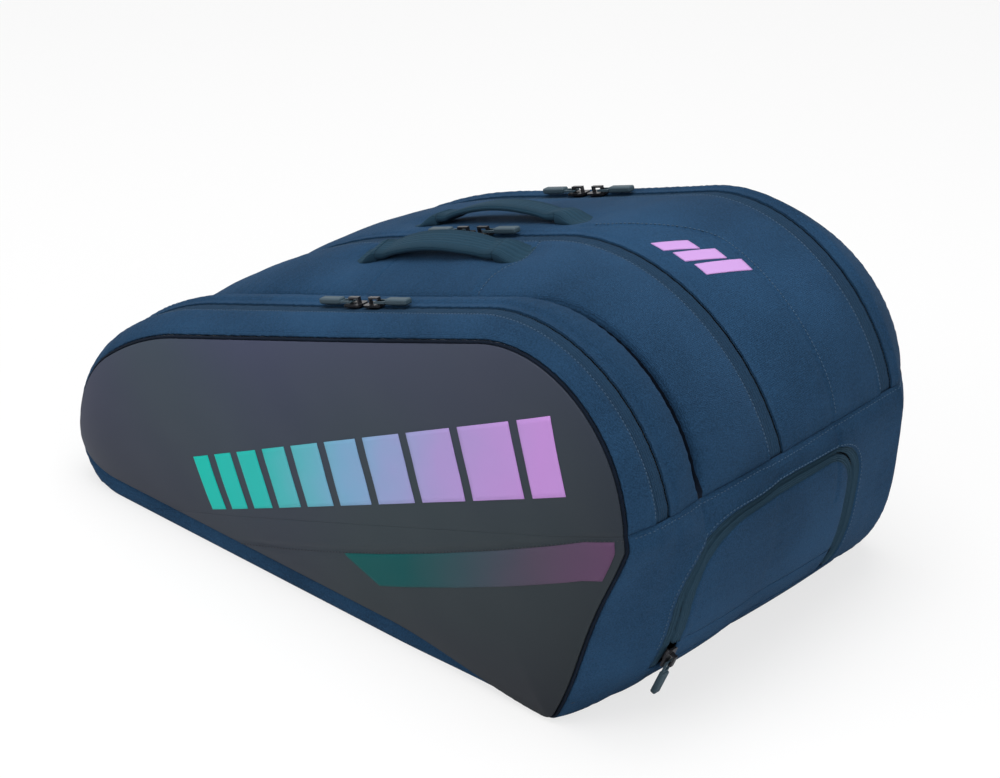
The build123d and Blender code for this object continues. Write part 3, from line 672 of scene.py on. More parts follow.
navy = woven("navy_cloth", (0.0170, 0.0530, 0.1120))
lining = woven("grey_lining", (0.060, 0.070, 0.085), yarn=0.0006, strength=0.2)
# Dark navy cloth for the piping, and painted shade along the crease, where the gusset strips beside it take
# it.
piping_and_crease_shade_cloth = woven("piping_and_crease_shade_cloth", (0.005, 0.009, 0.018), yarn=0.0008, strength=0.2)
mesh_cloth = woven("strap_mesh", (0.016, 0.030, 0.060), yarn=0.0016, strength=0.6)
door_tape = ribbed("door_tape", (0.022, 0.050, 0.078), 0.0021)
tape_cloth = ribbed("zip_tape", (0.015, 0.041, 0.080), 0.0021, strength=1.0, depth=0.0006)
slate = ribbed("handle_webbing", (0.017, 0.045, 0.072), 0.0017, rough=0.85, strength=0.8)
webbing = ribbed("strap_webbing", (0.012, 0.016, 0.026), 0.0012, rough=0.7)
foil = grained("thermal_foil", (0.55, 0.57, 0.60), 0.3, 90.0, 0.8, metal=0.8)
thread = grained("thread", (0.028, 0.075, 0.140), 0.7, 1500.0, 0.1)
dark_thread = grained("dark_thread", (0.012, 0.016, 0.024), 0.7, 1500.0, 0.1)
gunmetal = grained("gunmetal", (0.030, 0.030, 0.034), 0.28, 700.0, 0.08, metal=0.7)
coil_nylon = grained("coil_nylon", (0.006, 0.008, 0.012), 0.4, 900.0, 0.1)
rubber = grained("puller_rubber", (0.026, 0.056, 0.078), 0.55, 900.0, 0.15)
plastic = grained("strap_plastic", (0.014, 0.014, 0.016), 0.4, 800.0, 0.1)
board = grained("board_plastic", (0.020, 0.020, 0.023), 0.5, 400.0, 0.3)


# %% [markdown]
# The coated face is darker below than above, a painted highlight that grows towards the top, where the
# lamps light it from above, and painted shade that deepens towards the wide end. It also picks up a faint
# violet and green, as a film with a pearl finish does. The colour follows the piece's height, so it stays
# put when it moves.

# %% Coated face
def coated_face_with_painted_light():
    """Dark grey with a painted highlight by height, lighter at the top, times painted shade by length,
    darker towards the wide end, times a slow cloud of violet and green.
    """
    made, tree, shader = material("coated_panel", Roughness=0.50, Specular_IOR_Level=0.18,
                                  Coat_Weight=0.03, Coat_Roughness=0.30)
    axes = node(tree, "SeparateXYZ", [(0, node(tree, "TexCoord").outputs["Object"])])
    # Painted highlight: from dark grey at the bottom to lighter grey at the top.
    rise = node(tree, "MapRange", [("Value", axes.outputs["Z"])], From_Min=0.0, From_Max=0.27)
    ramp = node(tree, "ValToRGB", [(0, rise.outputs[0])])
    ramp.color_ramp.elements[0].color = (0.024, 0.028, 0.037, 1)
    ramp.color_ramp.elements[1].color = (0.078, 0.088, 0.122, 1)
    ramp.color_ramp.elements.new(0.55).color = (0.040, 0.052, 0.070, 1)
    pearl = node(tree, "ValToRGB", [(0, noise(tree, 4.0, 1.0))])
    for stop, place, colour in zip(pearl.color_ramp.elements, (0.35, 0.65),
                                   ((0.80, 0.78, 1.10, 1), (0.86, 1.06, 1.0, 1))):
        stop.position, stop.color = place, colour
    # Painted shade: the colour falls to 0.42 of itself towards the wide end.
    turned = node(tree, "MapRange", [("Value", axes.outputs["X"])], From_Min=-0.10, From_Max=0.26,
                  To_Min=1.0, To_Max=0.42)
    colour = ramp.outputs[0]
    for factor in (turned, pearl):
        mix = node(tree, "Mix", [(6, colour), (7, factor.outputs[0])], data_type="RGBA",
                   blend_type="MULTIPLY")
        mix.inputs[0].default_value = 1.0
        colour = mix.outputs[2]
    tree.links.new(colour, shader.inputs["Base Color"])
    roughen(tree, shader, noise(tree, 1100.0, 3.0), 0.15, 0.0003)
    return made


coated = coated_face_with_painted_light()
print(len(bpy.data.materials), "finishes")

# %% [markdown]
# ## The gusset's five pillows
# Above the fold the gusset is cut by the zips and the crease into strips. Each is a padded wall:
# outer cloth, foam and lining. Its edges are thin where they are sewn, and on the rear side of a
# zip the cloth carries on as a flap that hides that half of the tape.

# %% Gusset strips
GAP, FOAM, HEM = 0.00012, 0.0042, 0.0014     # between pieces; thickness of the wall and of its hems
FLAP = 0.0010     # from a zip's middle to the cloth behind it


def strip_grid(y_near, y_far, rows, columns):
    """s and y of a strip's points: closer beside its seams, evenly round the bag over the fold."""
    ease = np.linspace(0, 1, columns)
    y = y_near + (y_far - y_near) * (0.25 * ease + 0.75 * smooth(ease))
    return round_bag(y, True, rows, GAP), np.broadcast_to(y, (rows, columns))


def padded_strip(name, y_near, y_far, body, node_name, columns, painted_shade_span=(0, 0)):
    """Gusset strip. Its outer faces between the two given depths are painted shade: dark cloth along the
    crease that stands in for the shade of its deep valley.
    """
    s, y = strip_grid(y_near, y_far, 480, columns)
    thick = HEM + (FOAM - HEM) * smooth(np.minimum(y - y_near, y_far - y) / 0.010)
    points, faces, numbers = wall(skin(s, y), skin(s, y, -thick))
    uv = wall_uv(s, y)
    place = uv[faces, 1].mean(1)
    # Painted shade: outer faces inside the span take the dark cloth, number 2, to darken the crease.
    numbers = np.where((numbers == 0) & (place > painted_shade_span[0]) & (place < painted_shade_span[1]), 2, numbers)
    make(name, points, faces, body, "navy_cloth", [navy, lining, piping_and_crease_shade_cloth], [node_name], uv, numbers,
         fill=0.5)


# Beside the crease the pouch and middle strips carry a dark span, painted shade for the deep valley between
# them.
strips = [
    ("front_lid_cover", front_y + RIM, zip_y[0] - COVER_EDGE, "front_lid", "front_lid_gusset", 20),
    ("front_pouch_cover", zip_y[0] + FLAP, crease_y, "front_section", "front_pouch_gusset", 22,
     (crease_y - 0.0012, crease_y)),
    ("middle_cover", crease_y, zip_y[1] - COVER_EDGE, "front_section", "mid_gusset", 34,
     (crease_y, crease_y + 0.0034)),
    ("rear_block_cover", zip_y[1] + FLAP, zip_y[2] - COVER_EDGE, "bag_tub", "rear_block_gusset", 52),
    ("rear_lid_cover", zip_y[2] + FLAP, rear_y - RIM, "rear_lid", "rear_lid_gusset", 24)]
for row in strips:
    padded_strip(*row)
print(len(strips), "gusset strips")

# %% [markdown]
# ## The tub
# Below the fold one piece of cloth carries the load. Its bottom has a shallow recess for the
# straps, lined like the inside. The wide end is a second panel, with the shoe door cut out.

# %% Bottom cloth
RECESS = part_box("strap_recess_lining")
seam_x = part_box("end_panel")[0][0]


def bottom_cloth():
    """Grid in three stretches of s and three of y, so that its lines run along the recess."""
    (x0, y0, _), (x1, y1, _) = RECESS
    first = front_y + ROLL_START
    y = np.concatenate([first + (y0 - first) * np.linspace(0, 1, 26)[:-1] ** 2.2, np.linspace(y0, y1, 30),
                        np.linspace(y1, rear_y - RIM, 22)[1:]])
    nose, s0, s1, s2 = fold_cuts(y)[1] + GAP, s_at_x(x0), s_at_x(x1), s_at_x(seam_x) - GAP
    onward = np.concatenate([np.linspace(s0, s1, 40), np.linspace(s1, s2, 10)[1:]])[:, None]
    s = np.concatenate([nose + (s0 - nose) * np.linspace(0, 1, 16)[:-1, None], onward + 0 * y])
    y = np.broadcast_to(y, s.shape)
    points, faces, numbers = wall(skin(s, y), skin(s, y, -FOAM))
    middle = points[faces].mean(1)
    cloth = ~((middle > (x0, y0, -1)) & (middle < (x1, y1, 0.02))).all(1)
    make("bottom_cover", points, faces[cloth], "bag_tub", "navy_cloth", [navy, lining], ["bottom_panel"],
         wall_uv(s, y), numbers[cloth], fill=0.4)


bottom_cloth()

# %% [markdown]
# The wide end is laid out flat as depth and distance round the bag. Its inner edge is the door's
# frame, its outer edge the seams, and the grid runs from one to the other along rays.

# %% End cloth and door
door_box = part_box("shoe_door_panel")
frame_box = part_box("shoe_zip_tape_frame")
DOOR_Y = (frame_box[0][1] + TAPE, frame_box[1][1] - TAPE)
DOOR_Z = (frame_box[0][2], door_box[0][2], frame_box[1][2] - TAPE)
DOOR_CORNERS = 0.060, 0.034     # radius of the front and of the rear upper corner
LAP = TAPE - 0.0018     # cloth and door both end over the tapes
print("door", np.round(DOOR_Y, 3), np.round(DOOR_Z, 3))


def door_path(offset=0.0, bottom=None, count=160):
    """Depth, height and distance along the door's edge, moved outwards by offset: up, over, down."""
    bottom = DOOR_Z[0] if bottom is None else bottom
    (y0, y1), top, (r0, r1) = DOOR_Y, DOOR_Z[2], DOOR_CORNERS
    a = top - r0 - bottom
    b = a + math.pi / 2 * r0
    c = b + y1 - y0 - r0 - r1
    d = c + math.pi / 2 * r1
    along = np.linspace(0, d + top - r1 - bottom, count)
    turn = math.pi / 2 * (np.clip((along - a) / (b - a), 0, 1) + np.clip((along - c) / (d - c), 0, 1))
    out_y, out_z = -np.cos(turn), np.sin(turn)
    y = np.select([along < b, along < c], [y0 + r0 + r0 * out_y, y0 + r0 + along - b], y1 - r1 + r1 * out_y)
    z = np.select([along < a, along < c, along < d],
                  [bottom + along, top - r0 + r0 * out_z, top - r1 + r1 * out_z], top - r1 - (along - d))
    return y + out_y * offset, z + out_z * offset, along


def end_cloth():
    """Padded wall from the seams, outer, in to the door's edge, inner, along rays from its middle."""
    s_low, y_low, y_high = s_at_x(seam_x) + GAP, front_y + RIM, rear_y - RIM
    top_y = np.linspace(y_high, y_low, 120)
    top_s = fold_cuts(top_y)[0] - GAP
    sides = [(np.linspace(y_low, y_high, 90), np.full(90, s_low)),
             (np.full(70, y_high), np.linspace(s_low, top_s[0], 70)), (top_y, top_s),
             (np.full(70, y_low), np.linspace(top_s[-1], s_low, 70))]
    outer = np.concatenate([np.stack(side, -1)[:-1] for side in sides])
    y, z, _ = door_path(LAP, DOOR_Z[0] - 0.001)
    inner = np.stack([np.concatenate([y, np.linspace(y[-1], y[0], 60)[1:-1]]),
                      s_at_z(np.concatenate([z, np.full(58, z[0])]))], -1)
    middle = np.array([np.mean(DOOR_Y), s_at_z(0.098)])
    ray, inner_ray = (np.arctan2(*(loop - middle).T[::-1]) for loop in (outer, inner))
    order = np.argsort(inner_ray)
    radius = np.linalg.norm(inner - middle, axis=-1)
    reach = np.interp(ray, inner_ray[order], radius[order], period=2 * math.pi)
    inner = middle + reach[:, None] * np.stack([np.cos(ray), np.sin(ray)], -1)
    f = np.linspace(0, 1, 22)[:, None]
    place = outer * (1 - f[..., None]) + inner * f[..., None]
    y, s = np.moveaxis(np.concatenate([place, place[:, :1]], 1)[:, ::-1], -1, 0)
    thick = HEM + (FOAM - HEM) * smooth(np.minimum(f, 1 - f) / 0.12)
    points, faces, numbers = wall(skin(s, y, 0.0008 * smooth((f - 0.86) / 0.1)), skin(s, y, -thick))
    make("end_cover", points, faces, "bag_tub", "navy_cloth", [navy, lining], ["end_panel"], wall_uv(s, y),
         numbers, weld=True, fill=0.4)


end_cloth()

# %% [markdown]
# The door is a smaller padded panel inside the same edge. Row by row, its width follows the
# rounded upper corners. It bulges a little more than the cloth around it.

# %% Shoe door and the strip under it
def door_side(z, inset):
    """Lowest and highest depth of the door at height z, drawn in by inset."""
    radii = np.array(DOOR_CORNERS)[:, None] - inset
    over = np.clip((z - DOOR_Z[2] + radii + inset) / radii, 0, 0.9999)
    cut = radii * (1 - np.sqrt(1 - over ** 2)) + inset
    return DOOR_Y[0] + cut[0], DOOR_Y[1] - cut[1]


def end_piece(name, z_low, z_high, bulge, body, replaced, rows):
    """Padded panel inside the door's edge, between two heights."""
    z = z_low + (z_high - z_low) * (1 - (1 - np.linspace(0, 1, rows)) ** 1.5)
    low, high = door_side(z, LAP)
    u, v = np.linspace(0, 1, rows)[:, None], np.linspace(0, 1, 60)
    y = low[:, None] + (high - low)[:, None] * v
    s = np.broadcast_to(s_at_z(z)[:, None], y.shape)
    crown = bulge * (16 * v * (1 - v) * u * (1 - u)) ** 0.45
    thick = HEM + (FOAM - HEM) * smooth(14 * np.minimum(np.minimum(v, 1 - v), np.minimum(u, 1 - u)))
    points, faces, numbers = wall(skin(s, y, 0.0004 + crown), skin(s, y, -thick))
    make(name, points, faces, body, "navy_cloth", [navy, lining], replaced, wall_uv(s, y), numbers,
         fill=0.5)


end_piece("shoe_door_cover", DOOR_Z[1], DOOR_Z[2] - LAP, 0.0022, "shoe_door", ["shoe_door_panel"], 46)
end_piece("under_door_cover", DOOR_Z[0] - 0.001, DOOR_Z[1] - 0.0006, 0.0003, "bag_tub", [], 14)
print("bottom, end and door")

# %% [markdown]
# ## Zips
# The coil of each zip is sewn under its tape, so from outside one sees only two ribbed tapes
# that meet. The coil shows when a lid is open: a row of small nylon loops along each edge.

# %% Tapes and coils
TAPE_GAP, COIL_OFFSET = 0.0007, 0.0022     # from a zip's middle to its tapes and to its coils


def loops_along(place, ahead, across, up, size):
    """One small eight-cornered loop at each place. size is its half length along each direction."""
    corners = np.array([(a, b, c) for a in (-1, 1) for b in (-1, 1) for c in (-1, 1)], float)
    corners[:, :2] *= np.where(corners[:, 2:] < 0, 1.0, 0.62)
    frames = np.stack([ahead * size[0], across * size[1], up * size[2]], 1)
    points = place[:, None] + np.einsum("kc,ncd->nkd", corners, frames)
    face = np.array([(0, 1, 3, 2), (4, 6, 7, 5), (0, 4, 5, 1), (2, 3, 7, 6), (0, 2, 6, 4), (1, 5, 7, 3)])
    return points.reshape(-1, 3), (face[None] + 8 * np.arange(len(place))[:, None, None]).reshape(-1, 4)


def coil(s, y, out, trim=0):
    """Nylon loops at places on the skin, without the first and last few."""
    at, up = skin(s, y, out), skin_normal(s, y)
    ahead, kept = unit(np.gradient(at, axis=0)), slice(trim, len(at) - trim)
    return loops_along(at[kept], ahead[kept], np.cross(up, ahead)[kept], up[kept], (0.0008, 0.0015, 0.0010))


def tape_piece(name, outer, inner, uv, loops, body, replaced, cloth):
    """Thin wall of tape and its coil as one piece."""
    points, faces, _ = wall(outer, inner)
    both, all_faces = join((points, faces), loops)
    uv = np.concatenate([uv, np.zeros((len(loops[0]), 2))])
    numbers = np.repeat([0, 1], [len(faces), len(loops[1])])
    make(name, both, all_faces, body, "zip_tape", [cloth, coil_nylon], replaced, uv, numbers)


def straight_zip(number, side, body):
    """Half of a zip along the top: side -1 is the half nearer the front, which runs under the cloth."""
    middle, half = zip_y[number - 1], "front" if side < 0 else "rear"
    edges = sorted((middle + side * TAPE_GAP, middle + side * (COVER_EDGE + 0.002 if side < 0 else TAPE)))
    s, y = strip_grid(*edges, 300, 6)
    wide, nose = fold_cuts(middle)
    run = np.arange(wide + 0.004, nose + ROUND - 0.004, 0.0026)
    loops = coil(run, middle + side * COIL_OFFSET, -0.0040)
    tape_piece(f"zip_{number}_{half}", skin(s, y, -0.0012), skin(s, y, -0.0020), wall_uv(s, y), loops, body,
               [f"zip_{number}_tape_{half}"], tape_cloth)


for number, bodies in enumerate(
        [("front_lid", "front_section"), ("front_section", "bag_tub"), ("bag_tub", "rear_lid")], 1):
    for side, body in zip((-1, 1), bodies):
        straight_zip(number, side, body)


def door_zip(name, side, bottom, body, replaced):
    """Half of the shoe door's zip, outside (side 1) or inside its edge: a thick band with ribs."""
    offsets = side * np.linspace(TAPE_GAP, TAPE, 33)
    y, z, along = (np.stack(rows, 1) for rows in zip(*(door_path(o, bottom) for o in offsets)))
    s, order = s_at_z(z), slice(None, None, -side)
    y_c, z_c, _ = door_path(side * COIL_OFFSET, bottom, 170)
    ribs = 0.0004 * np.cos(np.abs(offsets) / 0.0018 * 2 * math.pi)
    lip = 0.0012 * smooth(1.4 - np.abs(offsets) / 0.0014)
    tape_piece(name, skin(s, y, ribs - lip)[:, order], skin(s, y, -0.0018)[:, order],
               wall_uv(along[:, order], (offsets + 0 * y)[:, order]),
               coil(s_at_z(z_c), y_c, -0.0032, 2), body, replaced, door_tape)


door_zip("shoe_zip_frame", 1, DOOR_Z[0], "bag_tub", ["shoe_zip_tape_frame"])
door_zip("shoe_zip_door", -1, DOOR_Z[1], "shoe_door", ["shoe_zip_tape_door"])

# %% [markdown]
# ## The two faces and their piping
# A face is a padded disc: its rim follows the slice's outline and its middle stands out, quickly
# at first and then hardly at all, as foam under a tight skin does. The stitched seam along the
# fold divides it into the part that opens and the part that stays.

# %% Faces
FOLD_GAP, FACE_IN, PIPING_IN = 0.00006, 0.002, 0.0022     # how far in a face's rim and its piping lie
FACE_CROWN, FACE_FOAM, PINCH = 0.0055, 0.0065, 0.0013
SEAM_START, SEAM_STOP = (-0.102, 0.0151), (0.277, 0.1718)     # x, z of the ends of the sewn seam


def rim(y, upper, out):
    """Closed loop of x, z round one part of a face: along the skin, then back along the fold."""
    p = skin(round_bag(y, upper, 300), y, out)[:, [0, 2]]
    gap = FOLD_GAP if upper else -FOLD_GAP
    chord = p[-1] + (p[0] - p[-1]) * np.linspace(0, 1, 90)[1:-1, None]
    return np.concatenate([p, chord]) + gap * np.array([-math.sin(FOLD_SLOPE), math.cos(FOLD_SLOPE)])


def gap_to(points, loop):
    """Distance from each point to the nearest of the loop's points."""
    best = np.full(len(points), 9.0)
    for part in np.array_split(loop, 12):
        best = np.minimum(best, np.linalg.norm(points[:, None] - part[None], axis=-1).min(1))
    return best


full_rim = {side: skin(np.linspace(0, ROUND, 900), y, -0.002)[:, [0, 2]]
            for side, y in ((-1, front_y + FACE_IN), (1, rear_y - FACE_IN))}


def cross_seam(x):
    """Height of the sewn seam across the front: a straight rise that sags a little between."""
    f = (x - SEAM_START[0]) / (SEAM_STOP[0] - SEAM_START[0])
    rising = SEAM_START[1] + (SEAM_STOP[1] - SEAM_START[1]) * f - 0.036 * f * (1 - f)
    return np.minimum(rising, under_fold(x))


def face_depth(x, z, side):
    """Depth of a face's outer surface over x, z. side -1 is the front."""
    x, z = np.asarray(x, float), np.asarray(z, float)
    d = gap_to(np.stack([x.ravel(), z.ravel()], -1), full_rim[side]).reshape(x.shape)
    crown = FACE_CROWN * (1 - np.exp(-d / 0.020)) * (1 + 0.10 * unrest(x * 0.6, 0, z * 0.6))
    pinch = z - cross_seam(x) if side < 0 else over_fold(x, z) + 0.001
    crown = crown - PINCH * np.exp(-(pinch / 0.003) ** 2) * np.clip(d / 0.01, 0, 1)
    edge = settle(x, (front_y if side < 0 else rear_y) + 0 * x, z)[1]
    return edge + side * (crown + 0.0004)


def face(name, side, upper, body, finish, replaced):
    """Padded disc: outer rows from its middle to its rim, then inner rows back again."""
    loop = rim(front_y + FACE_IN if side < 0 else rear_y - FACE_IN, upper, -0.0022)
    middle = loop.mean(0)
    share = 1 - (1 - np.linspace(0, 1, 34)) ** 1.6
    x, z = (middle[k] + (loop[:, k] - middle[k]) * share[:, None] for k in (0, 1))
    outer_y = face_depth(x, z, side)
    thick = HEM + (FACE_FOAM - HEM) * smooth((1 - share[:, None]) * 9)
    outer, inner = np.stack([x, outer_y, z], -1), np.stack([x, outer_y - side * thick, z], -1)
    rows = np.concatenate([outer, inner[::-1]])
    numbers = np.repeat((np.arange(len(rows) - 1) >= len(share)).astype(int), len(loop))
    make(name, rows, grid_faces(len(rows), len(loop), closed=True), body,
         "coated_panel" if side < 0 else "navy_cloth", [finish, lining], [replaced], None, numbers,
         weld=True, fill=0.7)


face("front_face_upper", -1, True, "front_lid", coated, "front_panel_upper")
face("front_face_lower", -1, False, "bag_tub", coated, "front_lower_panel")
face("rear_face_upper", 1, True, "rear_lid", navy, "rear_panel_upper")
face("rear_face_lower", 1, False, "bag_tub", navy, "rear_lower_panel")
print("4 face parts")


# %% Piping
def piping(name, side, upper, body, replaced):
    """Thin bound edge of a face, a cord of dark cloth along one part of its rim."""
    y = front_y + PIPING_IN if side < 0 else rear_y - PIPING_IN
    s = round_bag(y, upper, 420, GAP)
    points, faces = tube(skin(s, y, -0.0014), DEEP, 0.0013, 0.0012)
    along, across = np.linspace(0, s[-1] - s[0], len(points))[:, None], np.linspace(0, 0.012, 10)
    uv = np.stack(np.broadcast_arrays(along, across), -1)
    make(name, points, faces, body, "welt", [piping_and_crease_shade_cloth], replaced, uv, weld=True)


for side, label, lid in ((-1, "front", "front_lid"), (1, "rear", "rear_lid")):
    piping(f"{label}_piping_upper", side, True, lid, [f"{label}_upper_welt"])
    piping(f"{label}_piping_lower", side, False, "bag_tub", [f"{label}_lower_welt"])
print("piping")

# %% [markdown]
# ## Linings and inner walls
# What shows when a lid is open: a foil lining in the front lid and behind the pouch, and padded
# walls that keep the rackets apart. Each is a disc between two sheets with a rounded rim. Points
# run from one middle point out to the rim, so the rim may be any shape seen from that point.

# %% Inner walls
PANEL_INSET, FLOOR_Z = 0.0072, 0.0178
pocket_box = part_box("shoe_pocket_liner")
POCKET_X = pocket_box[0][0] - 0.0006


def clear_of_pocket(loop):
    """Draws a rim in from the shoe pocket and up from the board."""
    x, z = loop[:, 0], np.maximum(loop[:, 1], FLOOR_Z)
    hidden = (x > POCKET_X) & (over_fold(x, z) < 0.0003)
    low = np.minimum(z, under_fold(POCKET_X))
    return np.stack([np.where(hidden, POCKET_X, x), np.where(hidden, low, z)], -1)


def inner_wall(name, loop, middle, thickness, depth, body, finish, replaced):
    """Disc whose half thickness falls off round its rim as a quarter circle does. depth is its own
    depth, or a function of x and z that gives it."""
    share = 1 - (1 - np.linspace(0, 1, 26)[:, None]) ** 2
    x, z = (middle[k] + (loop[:, k] - middle[k]) * share for k in (0, 1))
    half = thickness / 2 * np.sqrt(1 - np.clip((share - 0.97) / 0.03, 0, 0.999) ** 2)
    y = (depth(x, z) if callable(depth) else depth) + 0.0010 * unrest(x, 0, z) * (1 - share ** 4)
    rows = np.concatenate([np.stack([x, y - half, z], -1), np.stack([x, y + half, z], -1)[::-1]])
    make(name, rows, grid_faces(len(rows), len(loop), closed=True), body,
         "foil" if finish is foil else "lining", [finish], [replaced], weld=True, fill=0.3)


pouch_y, divider_y, main_y = (np.mean(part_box(name), axis=0)[1]
                              for name in ("thermal_lining", "thermal_divider_upper", "middle_divider"))
lid_loop, pouch_loop, divider_loop = (rim(y, True, -PANEL_INSET)
                                      for y in (front_y + 0.009, pouch_y, divider_y))
low_loop = clear_of_pocket(rim(divider_y, False, -PANEL_INSET))
whole_loop = clear_of_pocket(skin(np.linspace(0, ROUND, 420)[:-1], main_y, -PANEL_INSET)[:, [0, 2]])
for wall_of in (
        ("lid_foil", lid_loop, lid_loop.mean(0), 0.0012, lambda x, z: face_depth(x, z, -1) + 0.0082,
         "front_lid", foil, "lid_lining"),
        ("pouch_foil", pouch_loop, pouch_loop.mean(0), 0.0012, pouch_y, "front_section", foil,
         "thermal_lining"),
        ("pouch_back_upper", divider_loop, divider_loop.mean(0), 0.0038, divider_y, "front_section", lining,
         "thermal_divider_upper"),
        ("pouch_back_lower", low_loop, (0.10, 0.06), 0.0038, divider_y, "bag_tub", lining,
         "thermal_divider_lower"),
        ("main_divider", whole_loop, (0.0, 0.12), 0.0038, main_y, "bag_tub", lining, "middle_divider")):
    inner_wall(*wall_of)
print("inner walls")

# %% [markdown]
# The shoe pocket and the recess for the straps are both bowls of thin cloth: an open rim, sides,
# and a base. One surface runs from the middle of the base out over the sides to the rim, turns
# there, and comes back on the inside, one thickness of cloth further in.

# %% Cloth bowls
CLOTH, POCKET_CORNER = 0.0014, 0.012


def rounded_loop(low, high, radius, count):
    """Rectangle with round corners: each of count directions gives one point of its own corner."""
    turn = np.linspace(0, 2 * math.pi, count, endpoint=False) + math.pi / count
    corner = np.stack([np.where(np.cos(turn) > 0, high[0] - radius, low[0] + radius),
                       np.where(np.sin(turn) > 0, high[1] - radius, low[1] + radius)], -1)
    return corner + radius * np.stack([np.cos(turn), np.sin(turn)], -1)


def bowl(rim_loop, base_loop, slack):
    """Rows from the middle of the base to its edge and up to the rim; slack bends the sides."""
    share, middle = np.linspace(0, 1, 12)[:, None, None], base_loop.mean(0)
    rows = np.concatenate([middle + (base_loop - middle) * share,
                           base_loop + (rim_loop - base_loop) * share[1:]])
    return rows + slack * unrest(*np.moveaxis(rows * 1.5, -1, 0))[..., None]


def cloth_bowl(name, outer, inner, slack, replaced):
    """Closed wall of cloth between an outer and an inner (rim, base) pair of loops."""
    rows = np.concatenate([bowl(*outer, slack), bowl(*inner, slack)[::-1]])
    faces = grid_faces(len(rows), rows.shape[1], closed=True)
    make(name, rows, faces, "bag_tub", "lining", [lining], replaced, weld=True, fill=0.1)


def pocket_loops(draw_in):
    """Rim along the inside of the wide end, and the loop round the pocket's back. The upper half of
    each follows the fold from below."""
    (back, y0, z0), (_, y1, _) = np.array(pocket_box) + draw_in * np.array([[1], [-1]])
    turn = np.linspace(0, 2 * math.pi, 96, endpoint=False) + math.pi / 96
    across, rise = POCKET_CORNER * np.cos(turn), POCKET_CORNER * np.sin(turn)
    y = np.where(across > 0, y1 - POCKET_CORNER, y0 + POCKET_CORNER) + across
    low = z0 + POCKET_CORNER + rise

    def height(x):
        """Heights of the loop's points, once their x is known."""
        return np.where(rise > 0, under_fold(x) - draw_in - POCKET_CORNER + rise, low)

    def ring(x_of):
        """The loop, with x worked out from height in two steps."""
        x = x_of(height(x_of(np.full_like(y, 0.10))))
        return np.stack([x, y, height(x)], -1)

    return ring(lambda z: skin(s_at_z(z), y, -FOAM - 0.0022)[..., 0]), ring(lambda z: back + 0 * z)


cloth_bowl("shoe_pocket_cloth", pocket_loops(0.0), pocket_loops(CLOTH), 0.0012, ["shoe_pocket_liner"])


def recess_loops(draw_in):
    """Rim and base of the straps' recess."""
    (x0, y0, z0), (x1, y1, z1) = RECESS
    plan = rounded_loop((x0 + draw_in, y0 + draw_in), (x1 - draw_in, y1 - draw_in), 0.004, 96)
    return [np.concatenate([plan, np.full((96, 1), z)], 1) for z in (z0, z1 - draw_in)]


cloth_bowl("strap_recess_cloth", recess_loops(0.0), recess_loops(CLOTH), 0.0, ["strap_recess_lining"])
print("pocket and recess")

# %% [markdown]
# ## Handles
# Two webbing handles are arched bands, narrow where they are sewn down and wide in the hand.
# Each band turns on a pin at both ends, and its sewn-down end runs on as a flat taper.

# %% Handles
PIN_HEIGHT, HALF_SPAN = 0.007, 0.062     # pins over the cloth; from the band's middle to its ends
RISE, BAND = 0.0100, 0.0024     # height of its arch over the pins, and half its thickness


def top_at(y):
    """Height of the sloping top, square to itself, before any padding."""
    x, z = outline(4.5, *slice_at(y))[:2]
    return float(z * math.cos(TOP_SLOPE) - x * math.sin(TOP_SLOPE))


def handle_place(label, along, height):
    """Points from a place along and above the cloth under the handle, and the way across it."""
    pin, ahead = np.array(swings[label]["pos_m"]), unit(np.array(swings[label]["axis"], float))
    rate = (top_at(pin[1] + 0.002) - top_at(pin[1] - 0.002)) / 0.004
    up = unit(np.array([-math.sin(TOP_SLOPE), -rate, math.cos(TOP_SLOPE)]))
    along, height = np.broadcast_arrays(along, height)
    return pin + along[:, None] * ahead + (height[:, None] - PIN_HEIGHT) * up, np.cross(up, ahead)


def band_uv(points, across):
    """UV of a tube: metres along it, and metres across on both its flat sides."""
    step = np.linalg.norm(np.diff(points.mean(1), axis=0), axis=-1)
    turn = np.linspace(0, 2 * math.pi, points.shape[1], endpoint=False)
    along = np.concatenate([[0], np.cumsum(step)])[:, None]
    return np.stack(np.broadcast_arrays(along, across * np.cos(turn)), -1)


def handle(label):
    """The arched band, thicker over its two pins."""
    x = np.linspace(-HALF_SPAN, HALF_SPAN, 81)
    radius = (HALF_SPAN ** 2 + RISE ** 2) / (2 * RISE)
    arc = PIN_HEIGHT + RISE - (radius - np.sqrt(radius ** 2 - x ** 2)) - BAND
    sewn = smooth((np.abs(x) - 0.046) / 0.014)
    path, side = handle_place(label, x, arc * (1 - sewn) + PIN_HEIGHT * sewn)
    width = 0.0105 + 0.0015 * smooth((0.056 - np.abs(x)) / 0.028)
    points, faces = tube(path, side, width, BAND + 0.0008 * sewn, sides=28, power=0.42)
    make(f"handle_band_{label}", points, faces, f"handle_{label}", "handle_webbing", [slate],
         [f"handle_{label}"], band_uv(points, 0.016), weld=True)


